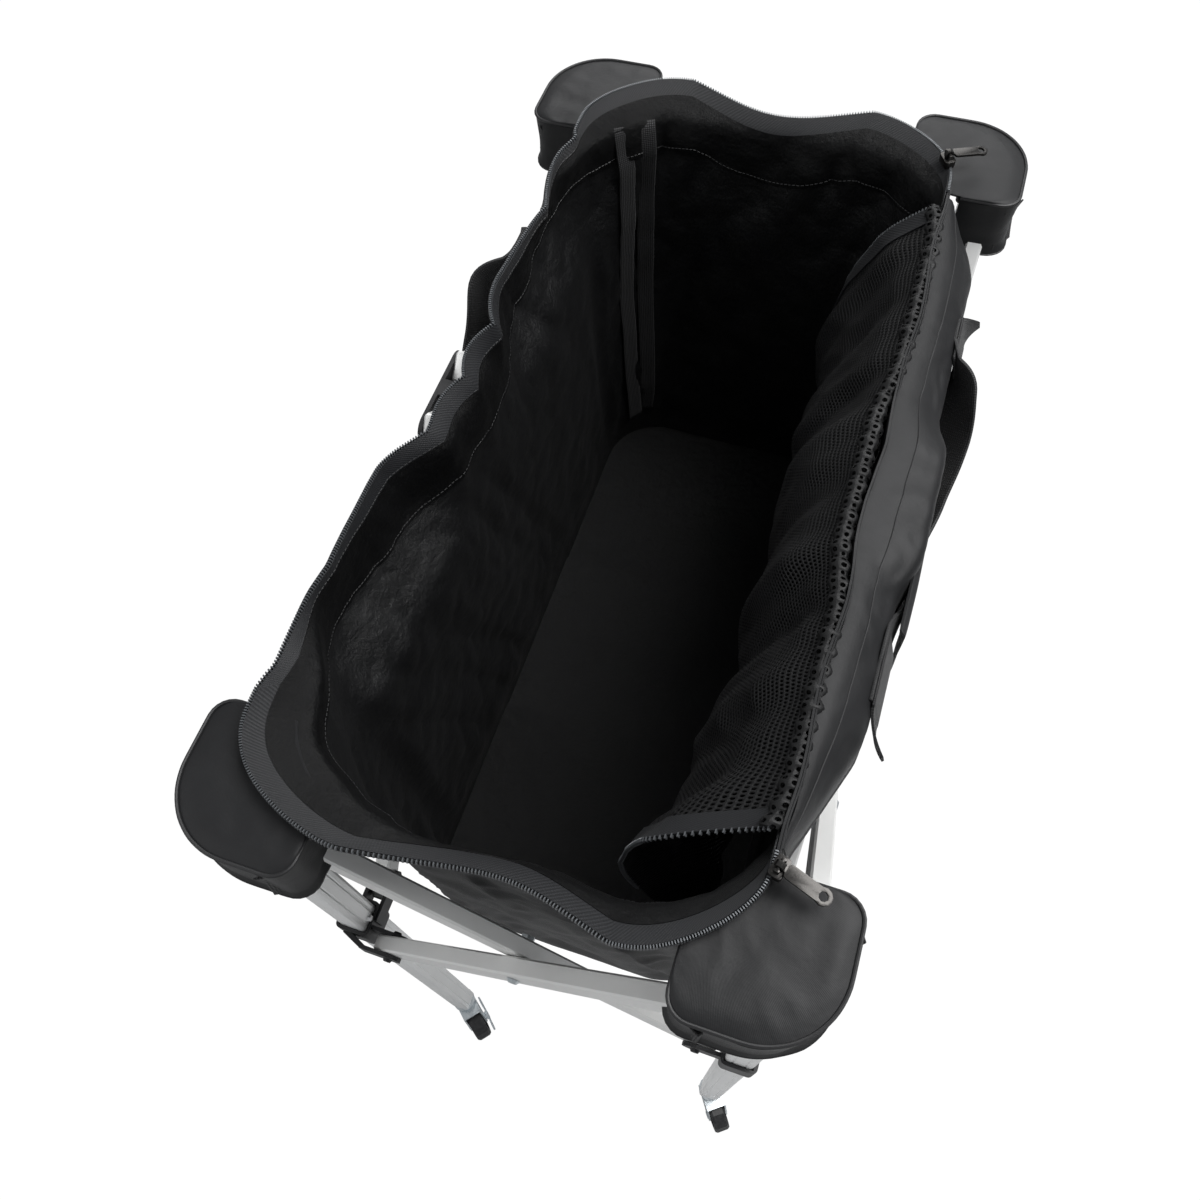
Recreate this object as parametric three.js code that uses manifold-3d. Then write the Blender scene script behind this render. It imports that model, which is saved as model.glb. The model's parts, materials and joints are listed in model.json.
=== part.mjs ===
// A folding ball cart: four square legs on casters, a scissor pair of bars on each side,
// and a black cloth bag with a zipped net lid hung between the leg tops.
// Millimetres, +Z up. The origin is on the floor, under the middle of the cart.
// X runs across the cart, Y along it, and the front is at -Y.

import * as THREE from 'three';
import { mergeVertices } from 'three/addons/utils/BufferGeometryUtils.js';
import Module from 'manifold-3d';

const wasm = await Module();
wasm.setup();

// Driving sizes

const leg = {
  spacingX: 360, side: 25, wall: 1.5, cornerRadius: 3, bottom: 75,
  grooveWidth: 2.4, grooveDepth: 0.6, grooveSpacing: 11,
};
const pivot = { upper: 976, lower: 646, reach: 38 };
const bar = { thickness: 14, height: 25, wall: 1.4, plug: 4, overrun: 14, edge: 1.6 };
const bolt = { radius: 3, headRadius: 5.6, headHeight: 2.6, nutHeight: 3.6, slack: 0.6, washerRadius: 7.5 };
const planes = {
  front: { inner: 0, outer: 15 },
  side: { inner: -7, outer: 8 },
};
const ear = { radius: 12, thickness: 3.5, slack: 0.5 };
const strut = { height: 13, depth: 4.5, start: 9 };
const middle = { pitch: 64, webHalf: 8 };
const collar = { wall: 3.1, slack: 0.4, cornerRadius: 5, above: 15, below: 28 };
const cap = { below: 15, above: 28, thickness: 4 };
const stopScrew = { radius: 4, height: 2.6, taper: 0.7 };

const wheel = {
  radius: 25, width: 20, tread: 14, shoulder: 2, rimDepth: 6.5, hubRadius: 8.5, webWidth: 11,
  boreSlack: 0.4, segments: 16,
};
const caster = {
  trail: 28, axleRadius: 3, axleHeadRadius: 5, axleHeadLength: 3,
  crownBottom: 56.6, crownThickness: 2.6, plateThickness: 2, plateGap: 1,
  axleLand: 8, forkBack: 9, crownFront: 25,
  kingpinRadius: 4, kingpinHeadRadius: 6.5, kingpinHeadHeight: 2.4, kingpinSlack: 0.4,
  raceRadius: 9.5, raceHeight: 2.4, bowlRadius: 15.5, bowlHeight: 7, plugLength: 24,
};
const brake = {
  hubRadius: 6.2, hubLength: 4, hubSlack: 0.4, wingThickness: 2.2, wingReach: 17, wingRise: 9,
  wingLength: 9.5, wingWidth: 6, neck: 3,
};
// Which way each caster trails, in degrees from +X
const casterAngles = { front_left: -41, front_right: -53, back_right: 139, back_left: 127 };

const hood = {
  outer: 31.5, inner: 63, bottom: 957, cloth: 2, outerRadius: 51, endRadius: 9, bagGap: 0.3,
  tabLength: 24, tabHeight: 20, tabThickness: 1.6, tabLift: 6,
};
const bag = {
  floor: 585, overHood: 1.2, lipRise: 10.5, bulgeBottom: 958, cloth: 3,
  bottomHalfX: 143, bottomHalfY: 312, bottomRadius: 62,
  insideLegsX: 23, insideLegsY: 16.5, topRadius: 86,
  lipLeft: 25, lipRight: 7, lipEnd: 25, rimRadius: 102,
  floorSag: 6, rimSagSide: 12, rimSagEnd: 8, fold: 2.5,
  bulge: 14, bulgeNear: [50, 115], bulgeFar: [225, 300],
};
const lid = {
  cloth: 2.6, halfLength: 250, hem: 14, drop: 300, wallGap: 5, loose: 0.2,
  fold: 5, folds: 3, lean: 0.6, frontDrape: 34, belly: 40, sag: 12,
};
const strap = { width: 36, thickness: 2.4, halfSpacing: 157.5, bottom: 934, top: 986, hang: 96, out: 31 };
const zip = {
  sliderLength: 14, sliderWidth: 9, sliderHeight: 6, pullLength: 30, pullWidth: 9,
  pullThickness: 1.8, ringRadius: 5.4, ringHole: 3, yokeRadius: 1.3, yokeSlack: 0.4,
  frontTurn: 18, backTurn: 32, pullLie: 8,
};
const facets = { head: 8, pin: 6, nut: 6, bowl: 12, curve: 3, hood: 5 };
const boltTaper = 0.6;
const overrunCut = 1;
const touchGap = 0.3;

// Worked out from the sizes above

const span = leg.spacingX - 2 * pivot.reach;
const halfX = leg.spacingX / 2;
const halfY = span + pivot.reach + middle.pitch / 2;
const capTop = pivot.upper + cap.above;
const legTop = capTop - cap.thickness - touchGap;
const hoodTop = capTop + touchGap + hood.cloth;
const bagTopX = halfX - bag.insideLegsX;
const bagTopY = halfY - bag.insideLegsY;
const bagShoulder = hoodTop + bag.overHood;
const bagRim = bagShoulder + bag.lipRise;
const rimHalfX = bagTopX + (bag.lipLeft + bag.lipRight) / 2;
const rimHalfY = bagTopY + bag.lipEnd;
const rimMiddleX = (bag.lipRight - bag.lipLeft) / 2;
const collarHalf = leg.side / 2 + collar.slack + collar.wall;
const up = new THREE.Vector3(0, 0, 1);
const corners = {
  front_left: { x: -1, y: -1 },
  front_right: { x: 1, y: -1 },
  back_right: { x: 1, y: 1 },
  back_left: { x: -1, y: 1 },
};

// Finishes

const finish = (color, roughness, metalness) =>
  new THREE.MeshStandardMaterial({ color, roughness, metalness });
const aluminium = finish(0xc9cbcc, 0.38, 0.9);
const blackPlastic = finish(0x1d1e20, 0.55, 0);
const zinc = finish(0xb9c2c6, 0.3, 0.9);
const tyreRubber = finish(0x141415, 0.6, 0);
const nylon = finish(0x26272b, 0.7, 0);
const netting = finish(0x17181a, 0.85, 0);
const webbing = finish(0x1b1b1d, 0.8, 0);
const zipMetal = finish(0x2b2b2c, 0.35, 0.8);

// Solids

function toSolid(geometry) {
  const bare = geometry.clone();
  bare.deleteAttribute('normal');
  bare.deleteAttribute('uv');
  const merged = mergeVertices(bare);
  return new wasm.Manifold(new wasm.Mesh({
    numProp: 3,
    vertProperties: new Float32Array(merged.attributes.position.array),
    triVerts: new Uint32Array(merged.index.array),
  }));
}

function toGeometry(solid) {
  const mesh = solid.getMesh();
  const geometry = new THREE.BufferGeometry();
  geometry.setAttribute('position', new THREE.BufferAttribute(mesh.vertProperties, 3));
  geometry.setIndex(new THREE.BufferAttribute(mesh.triVerts, 1));
  geometry.computeVertexNormals();
  return geometry;
}

function joined(geometries) {
  return toGeometry(geometries.map(toSolid).reduce((all, one) => all.add(one)));
}

function cut(geometry, tools) {
  return toGeometry(tools.map(toSolid).reduce((left, tool) => left.subtract(tool), toSolid(geometry)));
}

// The geometry in the frame of three directions and an origin, with its faces still pointing out
function framed(geometry, xAxis, yAxis, zAxis, origin = new THREE.Vector3()) {
  const matrix = new THREE.Matrix4().makeBasis(xAxis, yAxis, zAxis).setPosition(origin);
  const moved = mergeVertices(stripped(geometry)).applyMatrix4(matrix);
  if (matrix.determinant() < 0) {
    const index = moved.index.array;
    for (let i = 0; i < index.length; i += 3) {
      [index[i + 1], index[i + 2]] = [index[i + 2], index[i + 1]];
    }
  }
  return moved;
}

function stripped(geometry) {
  const bare = geometry.clone();
  bare.deleteAttribute('normal');
  bare.deleteAttribute('uv');
  return bare;
}

// An outline drawn in its own plane, thickened from one height to another
function prism(shape, from, to, curveSegments = facets.curve) {
  const options = { depth: to - from, bevelEnabled: false, curveSegments };
  return new THREE.ExtrudeGeometry(shape, options).translate(0, 0, from);
}

// A cylinder along its local Z, from one height to another
function rod(radius, from, to, sides = facets.head, endRadius = radius) {
  return new THREE.CylinderGeometry(endRadius, radius, to - from, sides)
    .rotateX(Math.PI / 2)
    .translate(0, 0, (from + to) / 2);
}

function roundedRectangle(width, height, radius) {
  const shape = new THREE.Shape();
  const [w, h] = [width / 2, height / 2];
  shape.moveTo(-w + radius, -h);
  shape.lineTo(w - radius, -h);
  shape.absarc(w - radius, -h + radius, radius, -Math.PI / 2, 0);
  shape.lineTo(w, h - radius);
  shape.absarc(w - radius, h - radius, radius, 0, Math.PI / 2);
  shape.lineTo(-w + radius, h);
  shape.absarc(-w + radius, h - radius, radius, Math.PI / 2, Math.PI);
  shape.lineTo(-w, -h + radius);
  shape.absarc(-w + radius, -h + radius, radius, Math.PI, 1.5 * Math.PI);
  return shape;
}

// A closed skin through rings of points, each ring with as many points, closed by a fan at both ends
function loft(rings, firstCentre, lastCentre) {
  const count = rings[0].length;
  const points = [...rings.flat(), firstCentre, lastCentre];
  const index = [];
  const at = (ring, i) => ring * count + (i % count);
  for (let ring = 0; ring < rings.length - 1; ring += 1) {
    for (let i = 0; i < count; i += 1) {
      index.push(at(ring, i), at(ring, i + 1), at(ring + 1, i + 1));
      index.push(at(ring, i), at(ring + 1, i + 1), at(ring + 1, i));
    }
  }
  const first = points.length - 2;
  const last = points.length - 1;
  for (let i = 0; i < count; i += 1) {
    index.push(first, at(0, i + 1), at(0, i));
    index.push(last, at(rings.length - 1, i), at(rings.length - 1, i + 1));
  }
  return indexed(points, index);
}

function indexed(points, index) {
  const geometry = new THREE.BufferGeometry();
  geometry.setAttribute('position',
    new THREE.Float32BufferAttribute(points.flatMap((p) => [p.x, p.y, p.z]), 3));
  geometry.setIndex(index);
  geometry.computeVertexNormals();
  return geometry;
}

// A thin closed sheet: the surface at(u, v), and the same surface moved by the vector thick
function sheet(at, thick, acrossCount, alongCount) {
  const points = [];
  for (const side of [0, 1]) {
    for (let i = 0; i <= acrossCount; i += 1) {
      for (let j = 0; j <= alongCount; j += 1) {
        points.push(at(i / acrossCount, j / alongCount).addScaledVector(thick, side));
      }
    }
  }
  const row = alongCount + 1;
  const layer = row * (acrossCount + 1);
  const index = [];
  const quad = (a, b, c, d) => index.push(a, c, b, a, d, c);
  for (let i = 0; i < acrossCount; i += 1) {
    for (let j = 0; j < alongCount; j += 1) {
      const a = i * row + j;
      quad(a, a + 1, a + row + 1, a + row);
      quad(layer + a, layer + a + row, layer + a + row + 1, layer + a + 1);
    }
  }
  for (let j = 0; j < alongCount; j += 1) {
    const last = acrossCount * row;
    quad(layer + j, layer + j + 1, j + 1, j);
    quad(last + j, last + j + 1, layer + last + j + 1, layer + last + j);
  }
  for (let i = 0; i < acrossCount; i += 1) {
    const a = i * row;
    quad(a, a + row, layer + a + row, layer + a);
    const b = a + alongCount;
    quad(layer + b, layer + b + row, b + row, b);
  }
  return indexed(points, index);
}

// The assembly

const cart = new THREE.Group();

function add(name, geometry, material, position = new THREE.Vector3(), parent = cart) {
  const mesh = new THREE.Mesh(geometry, material);
  mesh.name = name;
  mesh.position.copy(position);
  parent.add(mesh);
  return mesh;
}

function legPoint(corner, z) {
  return new THREE.Vector3(corner.x * halfX, corner.y * halfY, z);
}

// Legs: square tube with two shallow grooves down each face, and the screw that stops the slider

function legOutline() {
  const shape = new THREE.Shape();
  const half = leg.side / 2;
  const radius = leg.cornerRadius;
  const rim = half - radius;
  const turn = (point, quarter) => point.rotateAround(new THREE.Vector2(), quarter * Math.PI / 2);
  const points = [];
  for (let quarter = 0; quarter < 4; quarter += 1) {
    points.push(turn(new THREE.Vector2(half, -rim), quarter));
    for (const side of [-1, 1]) {
      const middle = side * leg.grooveSpacing / 2;
      points.push(turn(new THREE.Vector2(half, middle - leg.grooveWidth / 2), quarter));
      points.push(turn(new THREE.Vector2(half - leg.grooveDepth, middle), quarter));
      points.push(turn(new THREE.Vector2(half, middle + leg.grooveWidth / 2), quarter));
    }
    points.push(turn(new THREE.Vector2(half, rim), quarter));
    const middleOfCorner = rim + radius * Math.SQRT1_2;
    points.push(turn(new THREE.Vector2(middleOfCorner, middleOfCorner), quarter));
  }
  shape.setFromPoints(points);
  shape.holes.push(roundedRectangle(leg.side - 2 * leg.wall, leg.side - 2 * leg.wall, leg.wall));
  return shape;
}

function legGeometry(corner) {
  const tube = prism(legOutline(), 0, legTop - leg.bottom, 2);
  const inward = new THREE.Vector3(-corner.x, 0, 0);
  const across = new THREE.Vector3(0, 1, 0);
  const root = leg.side / 2 - leg.wall / 2;
  const height = pivot.lower + collar.above + touchGap + stopScrew.radius - leg.bottom;
  const tip = leg.side / 2 + stopScrew.height;
  const head = rod(stopScrew.radius, root, tip, facets.pin, stopScrew.radius * stopScrew.taper);
  const screw = framed(head, across, up, inward, new THREE.Vector3(0, 0, height));
  return joined([tube, screw]);
}

// Clevis arms of the brackets. along points from the leg to the next one, out points away from the cart.

function earOutline(start) {
  const shape = new THREE.Shape();
  shape.moveTo(start, -ear.radius);
  shape.lineTo(pivot.reach, -ear.radius);
  shape.absarc(pivot.reach, 0, ear.radius, -Math.PI / 2, Math.PI / 2);
  shape.lineTo(start, ear.radius);
  return shape;
}

function strutOutline(innerFace, outerFace) {
  const root = collarHalf - collar.wall / 2;
  const bend = ear.radius;
  return new THREE.Shape([
    new THREE.Vector2(-strut.start, root),
    new THREE.Vector2(-strut.start + strut.depth, root),
    new THREE.Vector2(bend + strut.depth / 2, innerFace),
    new THREE.Vector2(pivot.reach - ear.radius / 2, innerFace),
    new THREE.Vector2(pivot.reach - ear.radius / 2, outerFace),
    new THREE.Vector2(bend, outerFace),
    new THREE.Vector2(-strut.start, collarHalf + strut.depth / 3),
  ]);
}

function arm(along, out, plane, hasPin) {
  const near = plane - bar.thickness / 2 - ear.slack;
  const far = plane + bar.thickness / 2 + ear.slack;
  const root = collarHalf - collar.wall / 2;
  const nearRoot = ear.thickness - near > collarHalf ? 0 : root;
  const pieces = [prism(earOutline(nearRoot), near - ear.thickness, near)];
  const beyond = far + ear.thickness > collarHalf + touchGap;
  pieces.push(prism(earOutline(beyond ? ear.radius : root), far, far + ear.thickness));
  const ends = [near - ear.thickness, far + ear.thickness];
  const grip = ear.thickness / 2;
  const headTop = bolt.headRadius * boltTaper;
  pieces.push(rod(bolt.headRadius, 0, bolt.headHeight + grip, facets.head, headTop)
    .translate(pivot.reach, 0, ends[1] - grip));
  pieces.push(rod(headTop, 0, bolt.headHeight + grip, facets.pin, bolt.headRadius)
    .translate(pivot.reach, 0, ends[0] - bolt.headHeight));
  if (hasPin) {
    pieces.push(rod(bolt.radius, ends[0] + grip, ends[1] - grip, facets.pin)
      .translate(pivot.reach, 0, 0));
  }
  const placed = pieces.map((piece) => framed(piece, along, up, out));
  if (beyond) {
    const brace = prism(strutOutline(far, far + ear.thickness), -strut.height / 2, strut.height / 2);
    placed.push(framed(brace, along, out, up));
  }
  return placed;
}

function armDirections(corner) {
  const x = new THREE.Vector3(1, 0, 0);
  const y = new THREE.Vector3(0, 1, 0);
  return {
    front: { along: x.clone().multiplyScalar(-corner.x), out: y.clone().multiplyScalar(corner.y) },
    side: { along: y.clone().multiplyScalar(-corner.y), out: x.clone().multiplyScalar(corner.x) },
  };
}

function bracketGeometry(corner, bottom, top, hole, plane, pins) {
  const { front, side } = armDirections(corner);
  const outline = roundedRectangle(2 * collarHalf, 2 * collarHalf, collar.cornerRadius);
  const open = leg.side + 2 * collar.slack;
  const opening = roundedRectangle(open, open, collar.slack);
  const body = joined([
    prism(outline, bottom, top, 3),
    ...arm(front.along, front.out, planes.front[plane.front], pins.front),
    ...arm(side.along, side.out, planes.side[plane.side], pins.side),
  ]);
  return cut(body, [prism(opening, bottom - overrunCut, hole, 1)]);
}

// At each leg top the end bar and the side bar lie in the inner or the outer plane, and the
// bars at the slider below lie in the other one.
const upperPlane = {
  front_left: { front: 'inner', side: 'outer' },
  front_right: { front: 'outer', side: 'outer' },
  back_right: { front: 'inner', side: 'outer' },
  back_left: { front: 'outer', side: 'outer' },
};
const otherPlane = { inner: 'outer', outer: 'inner' };

function lowerPlane(name) {
  const plane = upperPlane[name];
  return { front: otherPlane[plane.front], side: otherPlane[plane.side] };
}

function addLegs() {
  for (const [name, corner] of Object.entries(corners)) {
    add(`leg_${name}`, legGeometry(corner), aluminium, legPoint(corner, leg.bottom));
    const top = bracketGeometry(corner, -cap.below, cap.above, cap.above - cap.thickness,
      upperPlane[name], { front: true, side: true });
    add(`top_bracket_${name}`, top, blackPlastic, legPoint(corner, pivot.upper));
    const slider = bracketGeometry(corner, -collar.below, collar.above,
      collar.above + overrunCut, lowerPlane(name), { front: true, side: true });
    add(`slider_bracket_${name}`, slider, blackPlastic, legPoint(corner, pivot.lower));
  }
}

// Scissor bars: rectangular tube with plugged ends and three bolt holes

function barGeometry(holeDistance) {
  const length = holeDistance + 2 * bar.overrun;
  const inset = bar.edge;
  const outline = roundedRectangle(length - 2 * inset, bar.height - 2 * inset, inset);
  const tube = new THREE.ExtrudeGeometry(outline, {
    depth: bar.thickness - 2 * inset,
    bevelEnabled: true, bevelThickness: inset, bevelSize: inset, bevelSegments: 1, curveSegments: 1,
  }).translate(0, 0, -bar.thickness / 2 + inset);
  const hollow = new THREE.BoxGeometry(
    length - 2 * bar.plug, bar.height - 2 * bar.wall, bar.thickness - 2 * bar.wall);
  const holes = [-1, 0, 1].map((end) =>
    rod(bolt.radius + bolt.slack, -bar.thickness, bar.thickness, facets.pin)
      .translate(end * holeDistance / 2, 0, 0));
  return cut(tube, [hollow, ...holes]);
}

function addBar(name, out, high, low) {
  const along = low.clone().sub(high).normalize();
  const height = out.clone().cross(along);
  const mesh = add(name, barGeometry(high.distanceTo(low)), aluminium,
    high.clone().add(low).multiplyScalar(0.5));
  mesh.quaternion.setFromRotationMatrix(new THREE.Matrix4().makeBasis(along, height, out));
}

function crossBoltGeometry(side) {
  const { inner, outer } = planes[side];
  const low = inner - bar.thickness / 2 - touchGap;
  const high = outer + bar.thickness / 2 + touchGap;
  const washerMiddle = (inner + outer) / 2;
  const washerHalf = (outer - inner - bar.thickness) / 2 - touchGap;
  return joined([
    rod(bolt.radius, low - bolt.headHeight / 2, high + bolt.headHeight / 2, facets.pin),
    rod(bolt.headRadius, high, high + bolt.headHeight, facets.head, bolt.headRadius * boltTaper),
    rod(bolt.headRadius, low - bolt.nutHeight, low, facets.nut),
    rod(bolt.washerRadius, washerMiddle - washerHalf, washerMiddle + washerHalf),
  ]);
}

// One X of two bars between the uprights at start and at start plus one span
function addCross(name, side, start, along, out, planeAtStart) {
  const place = (distance, z, plane) => start.clone()
    .addScaledVector(along, distance)
    .addScaledVector(out, planes[side][plane])
    .setZ(z);
  const other = otherPlane[planeAtStart];
  addBar(`bar_${name}_${planeAtStart}`, out,
    place(0, pivot.upper, planeAtStart), place(span, pivot.lower, planeAtStart));
  addBar(`bar_${name}_${other}`, out,
    place(span, pivot.upper, other), place(0, pivot.lower, other));
  const bolted = add(`cross_bolt_${name}`, crossBoltGeometry(side), zinc,
    start.clone().addScaledVector(along, span / 2).setZ((pivot.upper + pivot.lower) / 2));
  const across = up.clone().cross(out);
  bolted.quaternion.setFromRotationMatrix(new THREE.Matrix4().makeBasis(across, up, out));
}

// The bracket that joins the two crosses of a long side, in one plane of bars
function middleGeometry(plane) {
  const near = planes.side[plane] - bar.thickness / 2 - ear.slack;
  const far = planes.side[plane] + bar.thickness / 2 + ear.slack;
  const length = middle.pitch + 2 * ear.radius;
  const plate = roundedRectangle(length, 2 * ear.radius, ear.radius);
  const web = roundedRectangle(2 * middle.webHalf, 2 * ear.radius, ear.slack);
  const grip = ear.thickness / 2;
  const taper = bolt.headRadius * boltTaper;
  const bolts = [-1, 1].flatMap((end) => [
    rod(bolt.radius, near - grip, far + grip, facets.pin),
    rod(bolt.headRadius, far + grip, far + ear.thickness + bolt.headHeight, facets.head, taper),
    rod(taper, near - ear.thickness - bolt.headHeight, near - grip, facets.pin, bolt.headRadius),
  ].map((piece) => piece.translate(end * middle.pitch / 2, 0, 0)));
  return joined([
    prism(plate, near - ear.thickness, near),
    prism(plate, far, far + ear.thickness),
    prism(web, near - grip, far + grip),
    ...bolts,
  ]);
}

function addScissors() {
  for (const [name, y] of [['front', -1], ['back', 1]]) {
    const corner = { x: y, y };
    const { along, out } = armDirections(corner).front;
    const start = legPoint(corner, 0).addScaledVector(along, pivot.reach);
    addCross(name, 'front', start, along, out, 'inner');
  }
  for (const [name, x] of [['left', -1], ['right', 1]]) {
    for (const [end, y] of [['front', -1], ['back', 1]]) {
      const corner = { x, y };
      const { along, out } = armDirections(corner).side;
      const start = legPoint(corner, 0).addScaledVector(along, pivot.reach);
      addCross(`${name}_${end}`, 'side', start, along, out, 'outer');
    }
    for (const [level, plane] of [['upper', 'inner'], ['lower', 'outer']]) {
      const along = new THREE.Vector3(0, x, 0);
      const out = new THREE.Vector3(x, 0, 0);
      add(`mid_bracket_${name}_${level}`, framed(middleGeometry(plane), along, up, out), blackPlastic,
        new THREE.Vector3(x * halfX, 0, pivot[level]));
    }
  }
}

// Casters: plug and bowl in the leg, fork, wheel, and a wing lever on the two that lock

function stemGeometry() {
  const crownTop = caster.crownBottom + caster.crownThickness;
  const race = crownTop + touchGap;
  const bowl = race + caster.raceHeight;
  const flange = leg.bottom - touchGap;
  const headTop = caster.crownBottom - caster.kingpinSlack;
  const plugRadius = leg.side / 2 - leg.wall - touchGap;
  const profile = [
    [0, headTop - caster.kingpinHeadHeight],
    [caster.kingpinHeadRadius, headTop - caster.kingpinHeadHeight],
    [caster.kingpinHeadRadius, headTop],
    [caster.kingpinRadius, headTop],
    [caster.kingpinRadius, race],
    [caster.raceRadius, race],
    [caster.bowlRadius - caster.raceHeight, bowl],
    [caster.bowlRadius, bowl + caster.raceHeight],
    [caster.bowlRadius, bowl + caster.bowlHeight],
    [plugRadius + caster.raceHeight, flange],
    [plugRadius, flange],
    [plugRadius, leg.bottom + caster.plugLength],
    [0, leg.bottom + caster.plugLength],
  ].map(([radius, z]) => new THREE.Vector2(radius, z));
  return new THREE.LatheGeometry(profile, facets.bowl).rotateX(Math.PI / 2);
}

// The fork is drawn with its trail along +X
function forkGeometry() {
  const inner = wheel.width / 2 + caster.plateGap;
  const outer = inner + caster.plateThickness;
  const crownTop = caster.crownBottom + caster.crownThickness;
  const crown = new THREE.Shape();
  crown.moveTo(caster.crownFront, -outer);
  crown.lineTo(caster.crownFront, outer);
  crown.lineTo(0, outer);
  crown.absarc(0, 0, outer, Math.PI / 2, 1.5 * Math.PI);
  const hole = new THREE.Path();
  hole.absarc(0, 0, caster.kingpinRadius + caster.kingpinSlack, 0, 2 * Math.PI);
  crown.holes.push(hole);
  const plate = new THREE.Shape();
  plate.moveTo(-caster.forkBack, crownTop);
  plate.lineTo(-caster.forkBack, crownTop - caster.axleLand);
  plate.lineTo(caster.trail - caster.axleLand, wheel.radius);
  plate.absarc(caster.trail, wheel.radius, caster.axleLand, Math.PI, 2 * Math.PI);
  plate.lineTo(caster.crownFront, crownTop);
  const x = new THREE.Vector3(1, 0, 0);
  const y = new THREE.Vector3(0, 1, 0);
  const plates = [[-outer, -inner], [inner, outer]].map(([from, to]) =>
    framed(prism(plate, from, to), x, up, y));
  const axleEnd = inner + caster.plateThickness / 2;
  const axle = rod(caster.axleRadius, -axleEnd, axleEnd, facets.pin);
  const heads = [-1, 1].map((end) =>
    rod(caster.axleHeadRadius, 0, caster.axleHeadLength)
      .translate(0, 0, end < 0 ? -inner - caster.axleHeadLength : inner));
  const axlePieces = [axle, ...heads].map((piece) =>
    framed(piece, x, up, y, new THREE.Vector3(caster.trail, 0, wheel.radius)));
  return joined([prism(crown, caster.crownBottom, crownTop, 5), ...plates, ...axlePieces]);
}

// Flat facets touch the wheel's true circle, so the wheel stands on one
function wheelGeometry() {
  const grow = 1 / Math.cos(Math.PI / wheel.segments);
  const half = wheel.width / 2;
  const side = [
    [caster.axleRadius + wheel.boreSlack, half],
    [wheel.hubRadius, half],
    [wheel.hubRadius, wheel.webWidth / 2],
    [wheel.radius - wheel.rimDepth, wheel.webWidth / 2],
    [wheel.radius - wheel.rimDepth, half],
    [wheel.radius - wheel.shoulder, half],
    [wheel.radius, wheel.tread / 2],
  ];
  const loop = [...side, ...side.map(([radius, y]) => [radius, -y]).reverse()];
  const profile = [...loop, loop[0]].reverse()
    .map(([radius, y]) => new THREE.Vector2(radius * grow, y));
  return new THREE.LatheGeometry(profile, wheel.segments).rotateY(Math.PI / wheel.segments);
}

function leverGeometry() {
  const side = wheel.width / 2 + caster.plateGap + caster.axleHeadLength + brake.hubSlack;
  const wings = [-1, 1].map((end) => {
    const leaf = new THREE.Shape();
    leaf.absellipse(end * brake.wingReach, brake.wingRise, brake.wingLength, brake.wingWidth,
      0, 2 * Math.PI, false, end * Math.atan2(brake.wingRise, brake.wingReach));
    return prism(leaf, side + brake.hubLength - brake.wingThickness, side + brake.hubLength, 3);
  });
  const neck = new THREE.Shape([
    new THREE.Vector2(-brake.wingReach, brake.wingRise - brake.neck),
    new THREE.Vector2(0, -brake.neck),
    new THREE.Vector2(brake.wingReach, brake.wingRise - brake.neck),
    new THREE.Vector2(brake.wingReach, brake.wingRise + brake.neck),
    new THREE.Vector2(0, brake.neck),
    new THREE.Vector2(-brake.wingReach, brake.wingRise + brake.neck),
  ]);
  return joined([
    rod(brake.hubRadius, side, side + brake.hubLength),
    prism(neck, side + brake.hubLength - brake.wingThickness, side + brake.hubLength),
    ...wings,
  ]);
}

function addCasters() {
  const stem = stemGeometry();
  const fork = forkGeometry();
  const lever = leverGeometry();
  for (const [name, corner] of Object.entries(corners)) {
    const group = new THREE.Group();
    group.position.copy(legPoint(corner, 0));
    group.rotation.z = THREE.MathUtils.degToRad(casterAngles[name]);
    cart.add(group);
    add(`caster_stem_${name}`, stem, zinc, undefined, group);
    add(`caster_fork_${name}`, fork, zinc, undefined, group);
    const axle = new THREE.Vector3(caster.trail, 0, wheel.radius);
    add(`caster_wheel_${name}`, wheelGeometry(), tyreRubber, axle, group);
    if (name === 'front_left' || name === 'back_right') {
      const x = new THREE.Vector3(1, 0, 0);
      const y = new THREE.Vector3(0, 1, 0);
      add(`brake_lever_${name}`, framed(lever, x, up, y), zinc, axle, group);
    }
  }
}

// Hoods: cloth caps over the leg tops, open towards the bag and the bars

function hoodOutline(inset) {
  const out = -hood.outer + inset;
  const reach = hood.inner - inset;
  const radius = hood.outerRadius - inset;
  const end = hood.endRadius - inset;
  const shape = new THREE.Shape();
  shape.moveTo(out, reach - end);
  shape.lineTo(out, out + radius);
  shape.absarc(out + radius, out + radius, radius, Math.PI, 1.5 * Math.PI);
  shape.lineTo(reach - end, out);
  shape.absarc(reach - end, out + end, end, 1.5 * Math.PI, 2 * Math.PI);
  shape.lineTo(reach, reach);
  shape.lineTo(out + end, reach);
  shape.absarc(out + end, reach - end, end, Math.PI / 2, Math.PI);
  return shape;
}

// The bag at the height of a hood, seen from a leg, with the cart's middle towards +X +Y
function rimOutline() {
  const size = bagSize(1, -hood.bagGap);
  const still = { fold: 0, sideFold: 0, bulge: 0, sagEnd: 0, sagSide: 0 };
  const points = ringPoints(size, 0, still);
  return new THREE.Shape(points.map((p) => new THREE.Vector2(halfX - p.x, halfY - p.y)));
}

function hoodGeometry() {
  const panel = cut(prism(hoodOutline(0), hoodTop - hood.cloth, hoodTop, facets.hood),
    [prism(rimOutline(), hoodTop - hood.cloth - overrunCut, hoodTop + overrunCut)]);
  const skirt = cut(prism(hoodOutline(0), hood.bottom, hoodTop - hood.cloth / 2, facets.hood), [
    prism(hoodOutline(hood.cloth), hood.bottom - overrunCut, hoodTop, facets.hood),
    openSide(),
  ]);
  return joined([panel, skirt, ...hoodTabs()]);
}

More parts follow.
